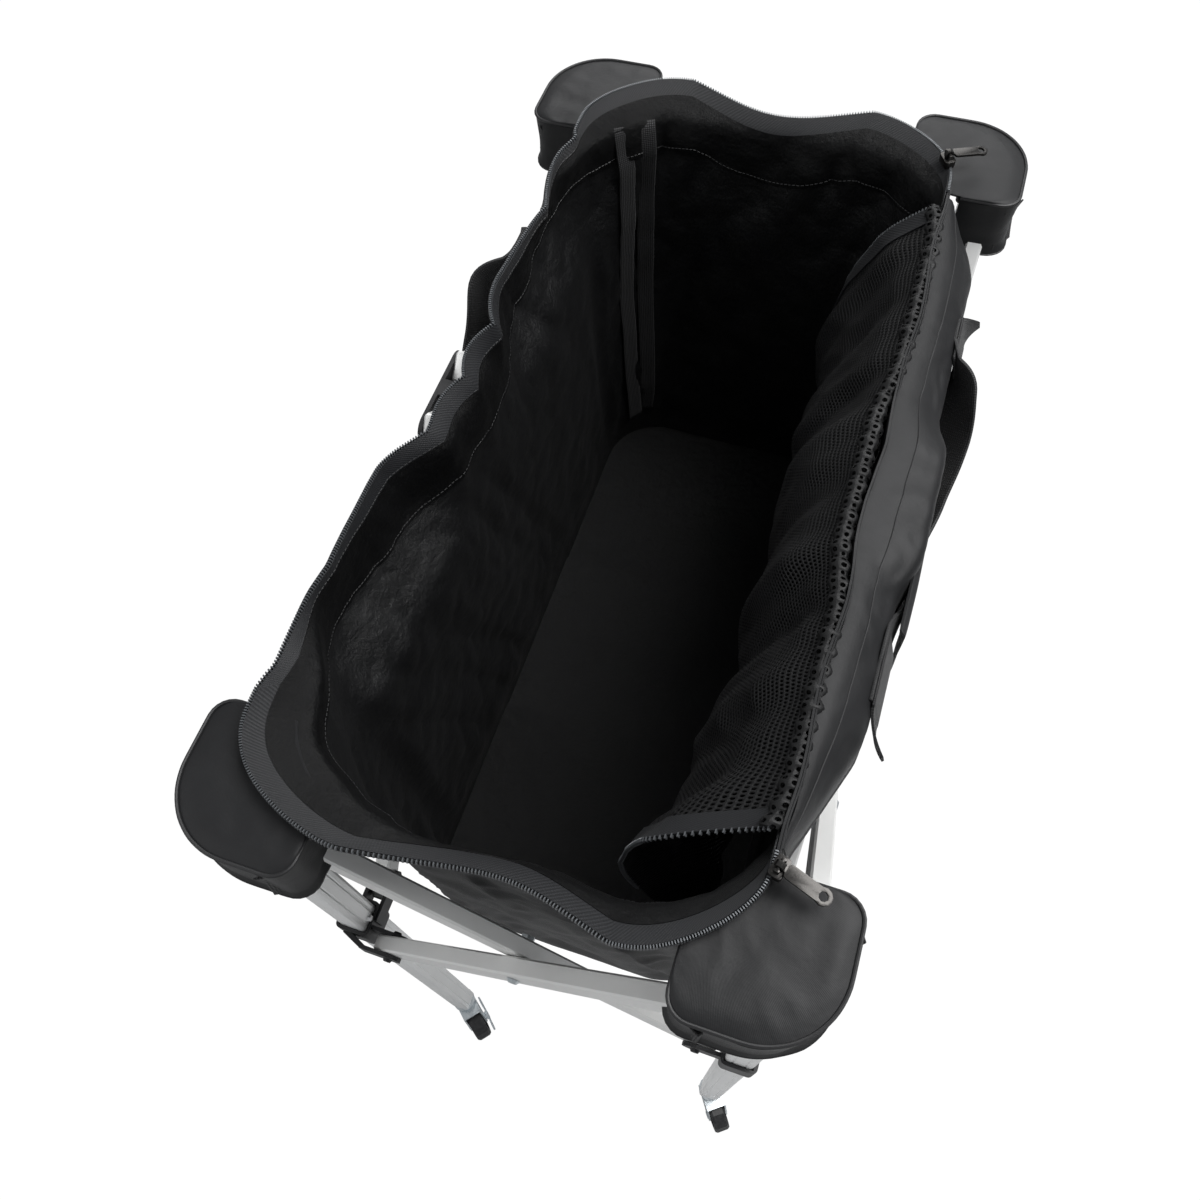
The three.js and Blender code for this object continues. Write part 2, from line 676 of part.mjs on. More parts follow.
// Webbing tabs sewn on the band near its two ends
function hoodTabs() {
  const start = hood.inner - hood.endRadius - hood.tabLength;
  const [from, to] = [-hood.outer - hood.tabThickness, -hood.outer + hood.cloth / 2];
  const low = hood.bottom + hood.tabLift;
  const tab = (x0, y0, x1, y1) => new THREE.BoxGeometry(x1 - x0, y1 - y0, hood.tabHeight)
    .translate((x0 + x1) / 2, (y0 + y1) / 2, low + hood.tabHeight / 2);
  const end = start + hood.tabLength;
  return [tab(start, from, end, to), tab(from, start, to, end)];
}

// Everything inward of the band: a block that leaves only the outer wall standing
function openSide() {
  const inside = -hood.outer + 2 * hood.cloth;
  const far = hood.inner + 2 * hood.endRadius;
  const corner = new THREE.Shape();
  corner.moveTo(far, inside);
  corner.lineTo(far, far);
  corner.lineTo(inside, far);
  corner.lineTo(inside, inside + hood.outerRadius);
  corner.absarc(inside + hood.outerRadius, inside + hood.outerRadius, hood.outerRadius,
    Math.PI, 1.5 * Math.PI);
  return prism(corner, hood.bottom - overrunCut, hoodTop, facets.hood);
}

function addHoods() {
  for (const [name, corner] of Object.entries(corners)) {
    const x = new THREE.Vector3(-corner.x, 0, 0);
    const y = new THREE.Vector3(0, -corner.y, 0);
    add(`hood_${name}`, framed(hoodGeometry(), x, y, up), nylon, legPoint(corner, 0));
  }
}

// Bag: a tapered sack with rounded corners, wavy walls and a drooping rim

const ringCounts = { corner: 5, sideX: 3, sideY: 7 };

// How far a long wall swells out between the bars at y, as a share
function bulgeShare(y) {
  const near = THREE.MathUtils.smoothstep(Math.abs(y), ...bag.bulgeNear);
  return near * (1 - THREE.MathUtils.smoothstep(Math.abs(y), ...bag.bulgeFar));
}

// One ring of the bag, counterclockwise from the start of the corner at +X +Y
function ringPoints(size, z, wave) {
  const centre = new THREE.Vector2(size.x - size.radius, size.y - size.radius);
  const points = [];
  const turns = [[1, 1], [-1, 1], [-1, -1], [1, -1]];
  turns.forEach(([sx, sy], quarter) => {
    for (let i = 0; i < ringCounts.corner; i += 1) {
      const angle = (quarter + i / (ringCounts.corner - 1)) * Math.PI / 2;
      points.push(new THREE.Vector3(
        sx * centre.x + size.radius * Math.cos(angle), sy * centre.y + size.radius * Math.sin(angle), z));
    }
    const alongX = quarter % 2 === 0;
    const count = alongX ? ringCounts.sideX : ringCounts.sideY;
    const reach = 2 * (alongX ? centre.x : centre.y);
    const last = points[points.length - 1];
    const outward = alongX ? sy : sx;
    for (let i = 1; i <= count; i += 1) {
      const share = i / (count + 1);
      const step = share * reach * (quarter < 2 ? -1 : 1);
      const middling = Math.sin(Math.PI * share);
      const fold = wave.fold * middling * Math.abs(Math.sin(Math.PI * share * (alongX ? 2 : 4)));
      const shift = alongX ? -fold : wave.bulge * bulgeShare(last.y + step) - fold * wave.sideFold;
      const low = z - middling * (alongX ? wave.sagEnd : wave.sagSide);
      points.push(alongX
        ? new THREE.Vector3(last.x + step, last.y + outward * shift, low)
        : new THREE.Vector3(last.x + outward * shift, last.y + step, low));
    }
  });
  return points;
}

// The bag's half sizes at a share of its wall's height
function bagSize(share, inset) {
  const mix = (low, high) => THREE.MathUtils.lerp(low, high, Math.sqrt(share)) - inset;
  return {
    x: mix(bag.bottomHalfX, bagTopX),
    y: mix(bag.bottomHalfY, bagTopY),
    radius: mix(bag.bottomRadius, bag.topRadius),
  };
}

function wallHeight(share) {
  return THREE.MathUtils.lerp(bag.floor, bagShoulder, share);
}

const wallShares = [0.07, 0.4, 0.74];

function bagRings(inset) {
  const still = { fold: 0, sideFold: 0, bulge: 0, sagEnd: 0, sagSide: 0 };
  const rings = [ringPoints(bagSize(0, inset), bag.floor + inset, still)];
  for (const share of wallShares) {
    const wave = { ...still, fold: bag.fold * share, sideFold: 1 };
    rings.push(ringPoints(bagSize(share, inset), wallHeight(share), wave));
  }
  const top = bagSize(1, inset);
  const bulged = { ...still, bulge: bag.bulge };
  const sag = { sagEnd: bag.rimSagEnd, sagSide: bag.rimSagSide };
  rings.push(ringPoints(top, bag.bulgeBottom, bulged));
  rings.push(ringPoints(top, bagShoulder, { ...bulged, ...sag }));
  const rim = { x: rimHalfX - inset, y: rimHalfY - inset, radius: bag.rimRadius - inset };
  rings.push(ringPoints(rim, bagRim, { ...still, ...sag, fold: bag.fold })
    .map((point) => point.setX(point.x + rimMiddleX)));
  return rings;
}

function addBag() {
  const outside = bagRings(0);
  const inside = bagRings(bag.cloth).reverse();
  const low = new THREE.Vector3(0, 0, bag.floor - bag.floorSag);
  const high = new THREE.Vector3(0, 0, bag.floor + bag.cloth - bag.floorSag);
  add('bag_shell', loft([...outside, ...inside], low, high), nylon);
}

// Lid: the net flap hangs inside the bag from its seam along the right rim

function lidPoint(u, v) {
  const y = THREE.MathUtils.lerp(-lid.halfLength, lid.halfLength, u);
  const z = bagRim - lid.hem - v * lid.drop - lid.sag * Math.sin(Math.PI * u);
  const share = Math.min(1, (z - bag.floor) / (bagShoulder - bag.floor));
  const wall = bagSize(share, bag.cloth).x - touchGap - lid.cloth;
  const free = THREE.MathUtils.smoothstep(v, 0, lid.loose);
  const ripple = lid.fold * (1 + Math.sin(2 * Math.PI * (lid.folds * u + lid.lean * v)));
  const drape = Math.sin(Math.PI * v) * (lid.belly + lid.frontDrape * (1 - u) ** 3);
  return new THREE.Vector3(wall - free * (lid.wallGap + ripple) - drape, y, z);
}

function addLid() {
  const thick = new THREE.Vector3(lid.cloth, 0, 0);
  add('bag_lid', sheet(lidPoint, thick, 16, 8), netting);
}

// Handles: webbing sewn to the long walls, up over the rim seam and down in a loop outside

// Half of a handle from its sewn end: how far out as a share, how far from the middle as a
// share, the height, and how far the webbing has turned on edge as a share.
function strapHalf() {
  const reach = strap.top - strap.bottom;
  return [
    { out: 0, away: 1, z: strap.bottom, turn: 0 },
    { out: 0, away: 1, z: strap.top - reach / 4, turn: 0 },
    { out: 0.12, away: 1, z: strap.top, turn: 0 },
    { out: 0.5, away: 0.985, z: strap.top + reach / 9, turn: 0.04 },
    { out: 0.85, away: 0.94, z: strap.top - reach / 5, turn: 0.18 },
    { out: 1, away: 0.8, z: strap.top - strap.hang * 0.42, turn: 0.5 },
    { out: 1, away: 0.46, z: strap.top - strap.hang * 0.86, turn: 0.86 },
  ];
}

function strapStations() {
  const wall = bagTopX + bag.bulge + touchGap + strap.thickness / 2;
  const half = strapHalf();
  const lowest = { out: 1, away: 0, z: strap.top - strap.hang, turn: 1 };
  const other = half.map((one) => ({ ...one, away: -one.away, turn: 2 - one.turn })).reverse();
  return [...half, lowest, ...other].map(({ out, away, z, turn }) => {
    const angle = turn * Math.PI / 2;
    return {
      middle: new THREE.Vector3(-wall - out * strap.out, away * strap.halfSpacing, z),
      wide: new THREE.Vector3(0, Math.cos(angle), Math.sin(angle)),
    };
  });
}

function strapGeometry() {
  const stations = strapStations();
  const rings = stations.map(({ middle, wide }, i) => {
    const before = stations[Math.max(0, i - 1)].middle;
    const after = stations[Math.min(stations.length - 1, i + 1)].middle;
    const tangent = after.clone().sub(before).normalize();
    const width = wide.clone().addScaledVector(tangent, -wide.dot(tangent)).normalize();
    const normal = tangent.clone().cross(width);
    return [[1, 1], [-1, 1], [-1, -1], [1, -1]].map(([a, b]) => middle.clone()
      .addScaledVector(width, a * strap.width / 2)
      .addScaledVector(normal, b * strap.thickness / 2));
  });
  return loft(rings, stations[0].middle, stations[stations.length - 1].middle);
}

function addHandles() {
  for (const [name, side] of [['right', 1], ['left', -1]]) {
    const x = new THREE.Vector3(-side, 0, 0);
    const y = new THREE.Vector3(0, -side, 0);
    add(`handle_${name}`, framed(strapGeometry(), x, y, up), webbing);
  }
}

// Zip sliders stand at the two ends of the open zip, each with a hinged pull

function zipSliderGeometry() {
  const shape = roundedRectangle(zip.sliderWidth, zip.sliderLength, zip.sliderWidth / 4);
  const post = zip.yokeRadius + zip.yokeSlack;
  const top = zip.sliderHeight;
  const yoke = [-1, 1].map((end) =>
    new THREE.BoxGeometry(2 * post, post, 3 * post).translate(0, end * (zip.pullWidth / 4 + post), top + post));
  const bridge = rod(zip.yokeRadius, -zip.pullWidth / 4 - post, zip.pullWidth / 4 + post, facets.pin)
    .rotateX(Math.PI / 2).translate(0, 0, top + 2 * post);
  return joined([prism(shape, 0, top, 2), ...yoke, bridge]);
}

function zipPullGeometry() {
  const bore = zip.yokeRadius + zip.yokeSlack;
  const half = zip.pullWidth / 4 - zip.yokeSlack;
  const tab = roundedRectangle(zip.pullLength - zip.ringRadius, zip.pullWidth, zip.pullWidth / 4);
  const start = 2.4 * bore;
  const plate = prism(tab, -zip.pullThickness / 2, zip.pullThickness / 2, 2)
    .translate(start + (zip.pullLength - zip.ringRadius) / 2, 0, 0);
  const neck = new THREE.BoxGeometry(2 * start, 2 * half, zip.pullThickness).translate(start, 0, 0);
  const eye = rod(2 * bore, -half, half).rotateX(Math.PI / 2);
  const ring = rod(zip.ringRadius, -zip.pullThickness / 2, zip.pullThickness / 2, facets.bowl)
    .translate(start + zip.pullLength - zip.ringRadius, 0, 0);
  const ringHole = rod(zip.ringHole, -zip.pullThickness, zip.pullThickness)
    .translate(start + zip.pullLength - zip.ringRadius, 0, 0);
  const yokeHole = rod(bore, -zip.pullWidth, zip.pullWidth).rotateX(Math.PI / 2);
  return cut(joined([plate, neck, eye, ring]), [ringHole, yokeHole]);
}

function addZip() {
  const post = zip.yokeRadius + zip.yokeSlack;
  const radius = bag.rimRadius - bag.cloth / 2;
  const centre = new THREE.Vector2(
    rimMiddleX + rimHalfX - bag.rimRadius, rimHalfY - bag.rimRadius);
  for (const [name, y, turn] of [['front', -1, zip.frontTurn], ['back', 1, zip.backTurn]]) {
    const angle = THREE.MathUtils.degToRad(turn);
    const group = new THREE.Group();
    group.position.set(centre.x + radius * Math.cos(angle),
      y * (centre.y + radius * Math.sin(angle)), bagRim + touchGap);
    group.rotation.z = y * angle;
    cart.add(group);
    add(`zip_slider_${name}`, zipSliderGeometry(), zipMetal, undefined, group);
    const pull = add(`zip_pull_${name}`, zipPullGeometry(), zipMetal,
      new THREE.Vector3(0, 0, zip.sliderHeight + 2 * post), group);
    pull.rotation.y = THREE.MathUtils.degToRad(zip.pullLie);
  }
}

addLegs();
addScissors();
addCasters();
addHoods();
addBag();
addLid();
addHandles();
addZip();

export default cart;
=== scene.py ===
"""Dresses the folding cart: cloth bag, net lid, hoods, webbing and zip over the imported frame."""

from __future__ import annotations

import json
import logging
import math
from dataclasses import dataclass, field
from enum import Enum
from typing import Any, Callable, ClassVar, Iterable, Sequence, TypeVar

import bpy  # noqa: E402
from mathutils import Matrix, Vector, noise  # noqa: E402

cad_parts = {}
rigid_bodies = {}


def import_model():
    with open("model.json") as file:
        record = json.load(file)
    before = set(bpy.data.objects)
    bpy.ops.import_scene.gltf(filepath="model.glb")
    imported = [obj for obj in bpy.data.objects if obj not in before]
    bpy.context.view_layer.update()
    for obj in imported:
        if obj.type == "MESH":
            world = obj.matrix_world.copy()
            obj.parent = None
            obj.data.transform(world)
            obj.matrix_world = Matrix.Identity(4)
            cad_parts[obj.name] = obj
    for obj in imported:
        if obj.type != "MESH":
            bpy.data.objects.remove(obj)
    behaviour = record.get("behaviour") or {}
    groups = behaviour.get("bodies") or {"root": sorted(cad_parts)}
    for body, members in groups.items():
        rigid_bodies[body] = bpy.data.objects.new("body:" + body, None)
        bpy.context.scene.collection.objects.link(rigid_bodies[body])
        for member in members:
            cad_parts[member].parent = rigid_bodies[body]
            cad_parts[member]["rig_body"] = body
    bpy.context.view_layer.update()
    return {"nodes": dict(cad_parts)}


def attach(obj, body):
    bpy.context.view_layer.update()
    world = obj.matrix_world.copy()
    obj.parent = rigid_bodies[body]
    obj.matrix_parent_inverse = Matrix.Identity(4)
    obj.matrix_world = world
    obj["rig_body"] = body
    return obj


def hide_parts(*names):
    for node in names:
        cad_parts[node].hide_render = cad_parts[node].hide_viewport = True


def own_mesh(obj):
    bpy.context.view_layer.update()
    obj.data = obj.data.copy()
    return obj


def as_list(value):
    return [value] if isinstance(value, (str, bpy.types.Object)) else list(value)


LOG = logging.getLogger("folding_cart")
ONE_RIB = 0.31416

PointOf = Callable[[float, float], Vector]
Piece = bpy.types.Object
Material = bpy.types.Material
Socket = bpy.types.NodeSocket
Spot = TypeVar("Spot", float, Vector)


class Corner(Enum):
    """The four legs, each with the signs of its X and Y."""

    FRONT_LEFT = (-1, -1)
    FRONT_RIGHT = (1, -1)
    BACK_LEFT = (-1, 1)
    BACK_RIGHT = (1, 1)

    @property
    def label(self) -> str:
        """The corner's name as the frame spells it."""
        return self.name.lower()

    @property
    def body(self) -> str:
        """The body that the corner's leg belongs to."""
        return f"corner_{self.label}"


class Side(Enum):
    """The two long sides, each with the sign of its X."""

    LEFT = -1
    RIGHT = 1


class End(Enum):
    """The two short sides, each with the sign of its Y."""

    FRONT = -1
    BACK = 1


class Cloth(Enum):
    """How a woven cloth is finished, or darkened as painted shade."""

    OUTER = "outer"
    LINING = "lining"
    # The lining darkened as painted shade, for the bag's floor and the rim facing.
    BASE = "base"


# Modelling helpers


class Bench:
    """Makes meshes and finishes them with applied modifiers."""

    @staticmethod
    def only(piece: Piece) -> None:
        """Selects one object and makes it active.

        Args:
            piece: the object to select.
        """
        for other in bpy.context.view_layer.objects:
            other.select_set(False)
        piece.select_set(True)
        bpy.context.view_layer.objects.active = piece

    @staticmethod
    def mesh(name: str, points: Sequence[Vector], faces: Sequence[Sequence[int]]) -> Piece:
        """Makes an object of points and faces, linked to the scene.

        Args:
            name: the piece's name.
            points: places in metres.
            faces: corner indices of each face.

        Returns:
            The new object, at the origin.
        """
        data = bpy.data.meshes.new(name)
        data.from_pydata([tuple(p) for p in points], [], [tuple(f) for f in faces])
        data.update()
        piece = bpy.data.objects.new(name, data)
        bpy.context.scene.collection.objects.link(piece)
        return piece

    @staticmethod
    def grid(
        name: str, columns: int, rows: int, at: PointOf, size: tuple[float, float] | None = None
    ) -> Piece:
        """Makes an open sheet of quads, with a UV map in metres.

        Args:
            name: the piece's name.
            columns: quads along the first direction.
            rows: quads along the second direction.
            at: the place at the shares (a, b), each from 0 to 1.
            size: the sheet's flat size in metres, or None to measure it.

        Returns:
            The sheet, whose faces point along (d/da) x (d/db).
        """
        row = columns + 1
        points = [at(i / columns, j / rows) for j in range(rows + 1) for i in range(row)]
        starts = [j * row + i for j in range(rows) for i in range(columns)]
        piece = Bench.mesh(name, points, [(k, k + 1, k + row + 1, k + row) for k in starts])
        if size is None:
            middle = rows // 2 * row
            size = (run_length(points[middle : middle + row]), run_length(points[::row]))
        layer = piece.data.uv_layers.new(name="cloth")
        for face_index, face in enumerate(piece.data.polygons):
            j, i = divmod(face_index, columns)
            spots = ((i, j), (i + 1, j), (i + 1, j + 1), (i, j + 1))
            for loop, (a, b) in zip(face.loop_indices, spots):
                layer.data[loop].uv = (a / columns * size[0], b / rows * size[1])
        return piece

    @staticmethod
    def modify(piece: Piece, kind: str, **settings: object) -> Piece:
        """Adds one modifier and applies it.

        Args:
            piece: the object to change.
            kind: Blender's modifier type.
            **settings: the modifier's properties.

        Returns:
            The same object.
        """
        Bench.only(piece)
        modifier = piece.modifiers.new(kind.lower(), kind)
        for key, value in settings.items():
            setattr(modifier, key, value)
        bpy.ops.object.modifier_apply(modifier=modifier.name)
        return piece

    @staticmethod
    def thicken(piece: Piece, thickness: float, inside: int = 0) -> Piece:
        """Gives a sheet its thickness, half to each side.

        Args:
            piece: the sheet.
            thickness: in metres.
            inside: how many material slots the inner face is further on.

        Returns:
            The same object.
        """
        even = {"offset": 0.0, "use_even_offset": False}
        return Bench.modify(piece, "SOLIDIFY", thickness=thickness, material_offset=inside, **even)

    @staticmethod
    def round_off(piece: Piece, width: float, segments: int = 2) -> Piece:
        """Rounds the sharp edges of a piece.

        Args:
            piece: the object.
            width: the rounding's width in metres.
            segments: how many faces the rounding has.

        Returns:
            The same object.
        """
        sharp = {"limit_method": "ANGLE", "angle_limit": 0.6}
        return Bench.modify(piece, "BEVEL", width=width, segments=segments, **sharp)

    @staticmethod
    def shade(piece: Piece, angle: float) -> Piece:
        """Shades a piece smooth up to an angle.

        Args:
            piece: the object.
            angle: in degrees.

        Returns:
            The same object.
        """
        Bench.only(piece)
        bpy.ops.object.shade_smooth_by_angle(angle=math.radians(angle))
        return piece

    @staticmethod
    def make_cloth(piece: Piece, finish: Material, thickness: float, angle: float = 60.0) -> Piece:
        """Turns an open sheet into cloth.

        Args:
            piece: the sheet.
            finish: its material.
            thickness: in metres.
            angle: the sharpest smooth edge, in degrees.

        Returns:
            The same object.
        """
        piece.data.materials.append(finish)
        return Bench.shade(Bench.thicken(piece, thickness), angle)

    @staticmethod
    def tube(name: str, path: Sequence[Vector], radius: float, sides: int, finish: Material) -> Piece:
        """Makes a round tube along a path, with closed ends.

        Args:
            name: the piece's name.
            path: the centre line's points.
            radius: in metres.
            sides: faces around.
            finish: its material.

        Returns:
            The tube.
        """
        last = len(path) - 1
        points: list[Vector] = []
        side_way = Vector((0, 0, 1))
        for k, centre in enumerate(path):
            along = (path[min(last, k + 1)] - path[max(0, k - 1)]).normalized()
            across = side_way - along * side_way.dot(along)
            if across.length < 1e-4:
                across = along.orthogonal()
            across.normalize()
            side_way = across
            other = along.cross(across)
            for s in range(sides):
                angle = 2 * math.pi * s / sides
                points.append(centre + radius * (math.cos(angle) * across + math.sin(angle) * other))
        ring = [(s, (s + 1) % sides) for s in range(sides)]
        starts = [(k * sides, (k + 1) * sides) for k in range(last)]
        faces: list[tuple[int, ...]] = [(a + s, a + t, b + t, b + s) for a, b in starts for s, t in ring]
        faces.append(tuple(reversed(range(sides))))
        faces.append(tuple(last * sides + s for s in range(sides)))
        piece = Bench.mesh(name, points, faces)
        piece.data.materials.append(finish)
        return Bench.shade(piece, 40)

    @staticmethod
    def band(
        name: str,
        middles: Sequence[Vector],
        wides: Sequence[Vector],
        size: tuple[float, float],
        finish: Material,
        across: int = 6,
    ) -> Piece:
        """Makes a flat webbing band along a path.

        Args:
            name: the piece's name.
            middles: the centre line's points.
            wides: at each point, the direction across the band.
            size: its width and thickness in metres.
            finish: its material.
            across: quads across.

        Returns:
            The band, with a UV map in metres.
        """
        last = len(middles) - 1
        width, thickness = size

        def at(a: float, b: float) -> Vector:
            """The place across the band and along it."""
            k = round(b * last)
            along = (middles[min(last, k + 1)] - middles[max(0, k - 1)]).normalized()
            wide = wides[k] - along * wides[k].dot(along)
            return middles[k] + wide.normalized() * (a - 0.5) * width

        piece = Bench.grid(name, across, last, at, size=(width, run_length(middles)))
        Bench.thicken(piece, thickness)
        Bench.round_off(piece, thickness * 0.3, 1)
        piece.data.materials.append(finish)
        return Bench.shade(piece, 50)


class Bricks:
    """Gathers many small six-sided blocks into one piece."""

    RING = ((-1, -1), (1, -1), (1, 1), (-1, 1))
    SIDES = ((3, 2, 1, 0), (4, 5, 6, 7), (0, 1, 5, 4), (1, 2, 6, 5), (2, 3, 7, 6), (3, 0, 4, 7))

    def __init__(self) -> None:
        """Starts with no blocks."""
        self.points: list[Vector] = []
        self.faces: list[tuple[int, ...]] = []

    def add(self, foot: Vector, wide: Vector, long: Vector, levels: Sequence[tuple[Vector, float]]) -> None:
        """Adds one block.

        Args:
            foot: its place.
            wide: half its size in one direction.
            long: half its size in the other.
            levels: for its bottom and its top, the way there and the share of the size.
        """
        first = len(self.points)
        for rise, share in levels:
            self.points += [foot + wide * (s * share) + long * (t * share) + rise for s, t in self.RING]
        self.faces += [tuple(first + i for i in side) for side in self.SIDES]

    def piece(self, name: str, finish: Material) -> Piece:
        """Makes the piece.

        Args:
            name: its name.
            finish: its material.

        Returns:
            The blocks as one object.
        """
        piece = Bench.mesh(name, self.points, self.faces)
        piece.data.materials.append(finish)
        return piece


def smoothstep(low: float, high: float, value: float) -> float:
    """Rises smoothly from 0 at low to 1 at high.

    Args:
        low: where it starts.
        high: where it ends.
        value: the place between them.

    Returns:
        A share from 0 to 1.
    """
    share = min(1.0, max(0.0, (value - low) / (high - low)))
    return share * share * (3 - 2 * share)


def mix(low: float, high: float, share: float) -> float:
    """Runs straight from low, at share 0, to high, at share 1."""
    return low + (high - low) * share


def run_length(path: Sequence[Vector]) -> float:
    """Measures the line through some points."""
    return sum((p - q).length for p, q in zip(path, path[1:]))


def curve(before: Spot, start: Spot, stop: Spot, after: Spot, t: float) -> Spot:
    """Runs smoothly from start to stop, between the knots before and after them.

    Args:
        before: the knot before the start.
        start: the value at 0.
        stop: the value at 1.
        after: the knot after the stop.
        t: where between them.

    Returns:
        The value there.
    """
    bend = 2 * before - 5 * start + 4 * stop - after
    twist = 3 * start - before - 3 * stop + after
    return 0.5 * (2 * start + (stop - before) * t + bend * t * t + twist * t**3)


@dataclass(frozen=True)
class Crumple:
    """Random folds: their height, their size in two directions, a layer, a seed and how sharp they are."""

    height: float
    size: tuple[float, float]
    layer: float = 0.0
    seed: float = 0.0
    sharp: float = 0.0

    def at(self, u: float, v: float, seed: float = 0.0) -> float:
        """The folds' height at a place.

        Args:
            u: the place in the first direction.
            v: the place in the second direction.
            seed: what is added to the pattern's own seed.

        Returns:
            From about minus to plus the folds' height.
        """
        place = Vector((u / self.size[0], v / self.size[1], self.layer))
        own = self.seed + seed
        value = noise.noise(place + Vector((own, own * 1.7, -own)))
        crease = 1 - 2 * abs(noise.noise(place * 1.3 + Vector((-own, own, own * 2.3))) * 2)
        return self.height * mix(value, max(-1.0, crease), self.sharp)


# Finishes


class Recipe:
    """One material under construction."""

    def __init__(self, name: str) -> None:
        """Starts a material with a plain shader.

        Args:
            name: the finish's name.
        """
        self.material = bpy.data.materials.new(name)
        self.material.use_nodes = True
        self.tree = self.material.node_tree
        self.shader = self.tree.nodes["Principled BSDF"]

    def add(self, kind: str, **settings: object) -> bpy.types.Node:
        """Adds a node.

        Args:
            kind: the node's type without its ShaderNode prefix.
            **settings: the node's own properties.

        Returns:
            The node.
        """
        node = self.tree.nodes.new("ShaderNode" + kind)
        for key, value in settings.items():
            setattr(node, key, value)
        return node

    def link(self, source: Socket, target: Socket) -> None:
        """Joins two sockets."""
        self.tree.links.new(source, target)

    def place(self, scale: Sequence[float], by_cloth: bool = False) -> Socket:
        """Coordinates for a pattern.

        Args:
            scale: repeats for each metre, along each axis.
            by_cloth: whether the pattern follows the cloth's UV map.

        Returns:
            The scaled coordinates.
        """
        where = self.add("TexCoord")
        mapping = self.add("Mapping")
        mapping.inputs["Scale"].default_value = scale
        self.link(where.outputs["UV" if by_cloth else "Object"], mapping.inputs["Vector"])
        return mapping.outputs["Vector"]

    def speckle(self, vector: Socket, detail: float = 3.0, rough: float = 0.5) -> Socket:
        """A noise texture's height.

        Args:
            vector: its coordinates.
            detail: how fine it goes.
            rough: how strong the fine part is.

        Returns:
            A height of about 0 to 1.
        """
        texture = self.add("TexNoise")
        texture.inputs["Scale"].default_value = 1.0
        texture.inputs["Detail"].default_value = detail
        texture.inputs["Roughness"].default_value = rough
        self.link(vector, texture.inputs["Vector"])
        return texture.outputs["Fac"]

    def waves(self, vector: Socket, direction: str) -> Socket:
        """Straight ribs, one for each unit along a direction.

        Args:
            vector: their coordinates.
            direction: X, Y, Z or DIAGONAL.

        Returns:
            A height of 0 to 1.
        """
        texture = self.add("TexWave", bands_direction=direction)
        texture.inputs["Scale"].default_value = ONE_RIB
        texture.inputs["Distortion"].default_value = 0.0
        self.link(vector, texture.inputs["Vector"])
        return texture.outputs["Fac"]

    def math(self, operation: str, *values: Socket | float) -> Socket:
        """Works out one step of arithmetic.

        Args:
            operation: Blender's name for it.
            *values: its inputs, as heights or numbers.

        Returns:
            The result.
        """
        node = self.add("Math", operation=operation)
        for socket, value in zip(node.inputs, values):
            if isinstance(value, (int, float)):
                socket.default_value = value
            else:
                self.link(value, socket)
        return node.outputs[0]

    def sum(self, parts: Iterable[tuple[Socket, float]]) -> Socket:
        """Adds heights, each with its weight.

        Args:
            parts: pairs of a height and a weight.

        Returns:
            The weighted sum.
        """
        total: Socket | float = 0.0
        for socket, weight in parts:
            total = self.math("MULTIPLY_ADD", socket, weight, total)
        return total

    def ramp(self, value: Socket, stops: Sequence[tuple[float, Sequence[float]]]) -> Socket:
        """Turns a height into a colour.

        Args:
            value: the height.
            stops: pairs of a place and a colour.

        Returns:
            The colour.
        """
        node = self.add("ValToRGB")
        ramp = node.color_ramp
        while len(ramp.elements) < len(stops):
            ramp.elements.new(0.5)
        for element, (spot, colour) in zip(ramp.elements, stops):
            element.position = spot
            element.color = (*colour, 1.0)
        self.link(value, node.inputs["Fac"])
        return node.outputs["Color"]

    def spread(self, value: Socket, low: float, high: float) -> Socket:
        """Maps a height of 0 to 1 to a range.

        Args:
            value: the height.
            low: what 0 becomes.
            high: what 1 becomes.

        Returns:
            The mapped value.
        """
        node = self.add("MapRange")
        node.inputs["To Min"].default_value = low
        node.inputs["To Max"].default_value = high
        self.link(value, node.inputs["Value"])
        return node.outputs["Result"]

    def bump(self, height: Socket, depth: float, strength: float) -> None:
        """Gives the shader a bump.

        Args:
            height: the height of 0 to 1.
            depth: how deep 1 is, in metres.
            strength: the bump's strength.
        """
        node = self.add("Bump")
        node.inputs["Strength"].default_value = strength
        node.inputs["Distance"].default_value = depth
        self.link(height, node.inputs["Height"])
        self.link(node.outputs["Normal"], self.shader.inputs["Normal"])

    def set(self, **values: object) -> None:
        """Sets plain values on the shader's sockets.

        Args:
            **values: socket names in lower case with underscores.
        """
        names = {s.name.lower().replace(" ", "_"): s.name for s in self.shader.inputs}
        for key, value in values.items():
            self.shader.inputs[names[key]].default_value = value

    def colour(self, socket: Socket) -> None:
        """Links the base colour."""
        self.link(socket, self.shader.inputs["Base Color"])

    def roughness(self, socket: Socket) -> None:
        """Links the roughness."""
        self.link(socket, self.shader.inputs["Roughness"])


@dataclass(frozen=True)
class DrawnAluminium:
    """Satin extruded tube with faint draw lines along it."""

    name: str
    tint: tuple[float, float, float] = (0.92, 0.925, 0.92)

    def make(self) -> Material:
        """Builds the material."""
        recipe = Recipe(self.name)
        recipe.set(metallic=0.5, specular_ior_level=0.6)
        lines = recipe.speckle(recipe.place((900, 900, 6)), 2.0)
        cloud = recipe.speckle(recipe.place((14, 14, 9)), 3.0)
        low = tuple(c * 0.93 for c in self.tint)
        recipe.colour(recipe.ramp(cloud, ((0.3, low), (0.7, self.tint))))
        recipe.roughness(recipe.spread(recipe.sum(((lines, 0.6), (cloud, 0.4))), 0.3, 0.46))
        recipe.bump(lines, 0.00005, 0.35)
        return recipe.material


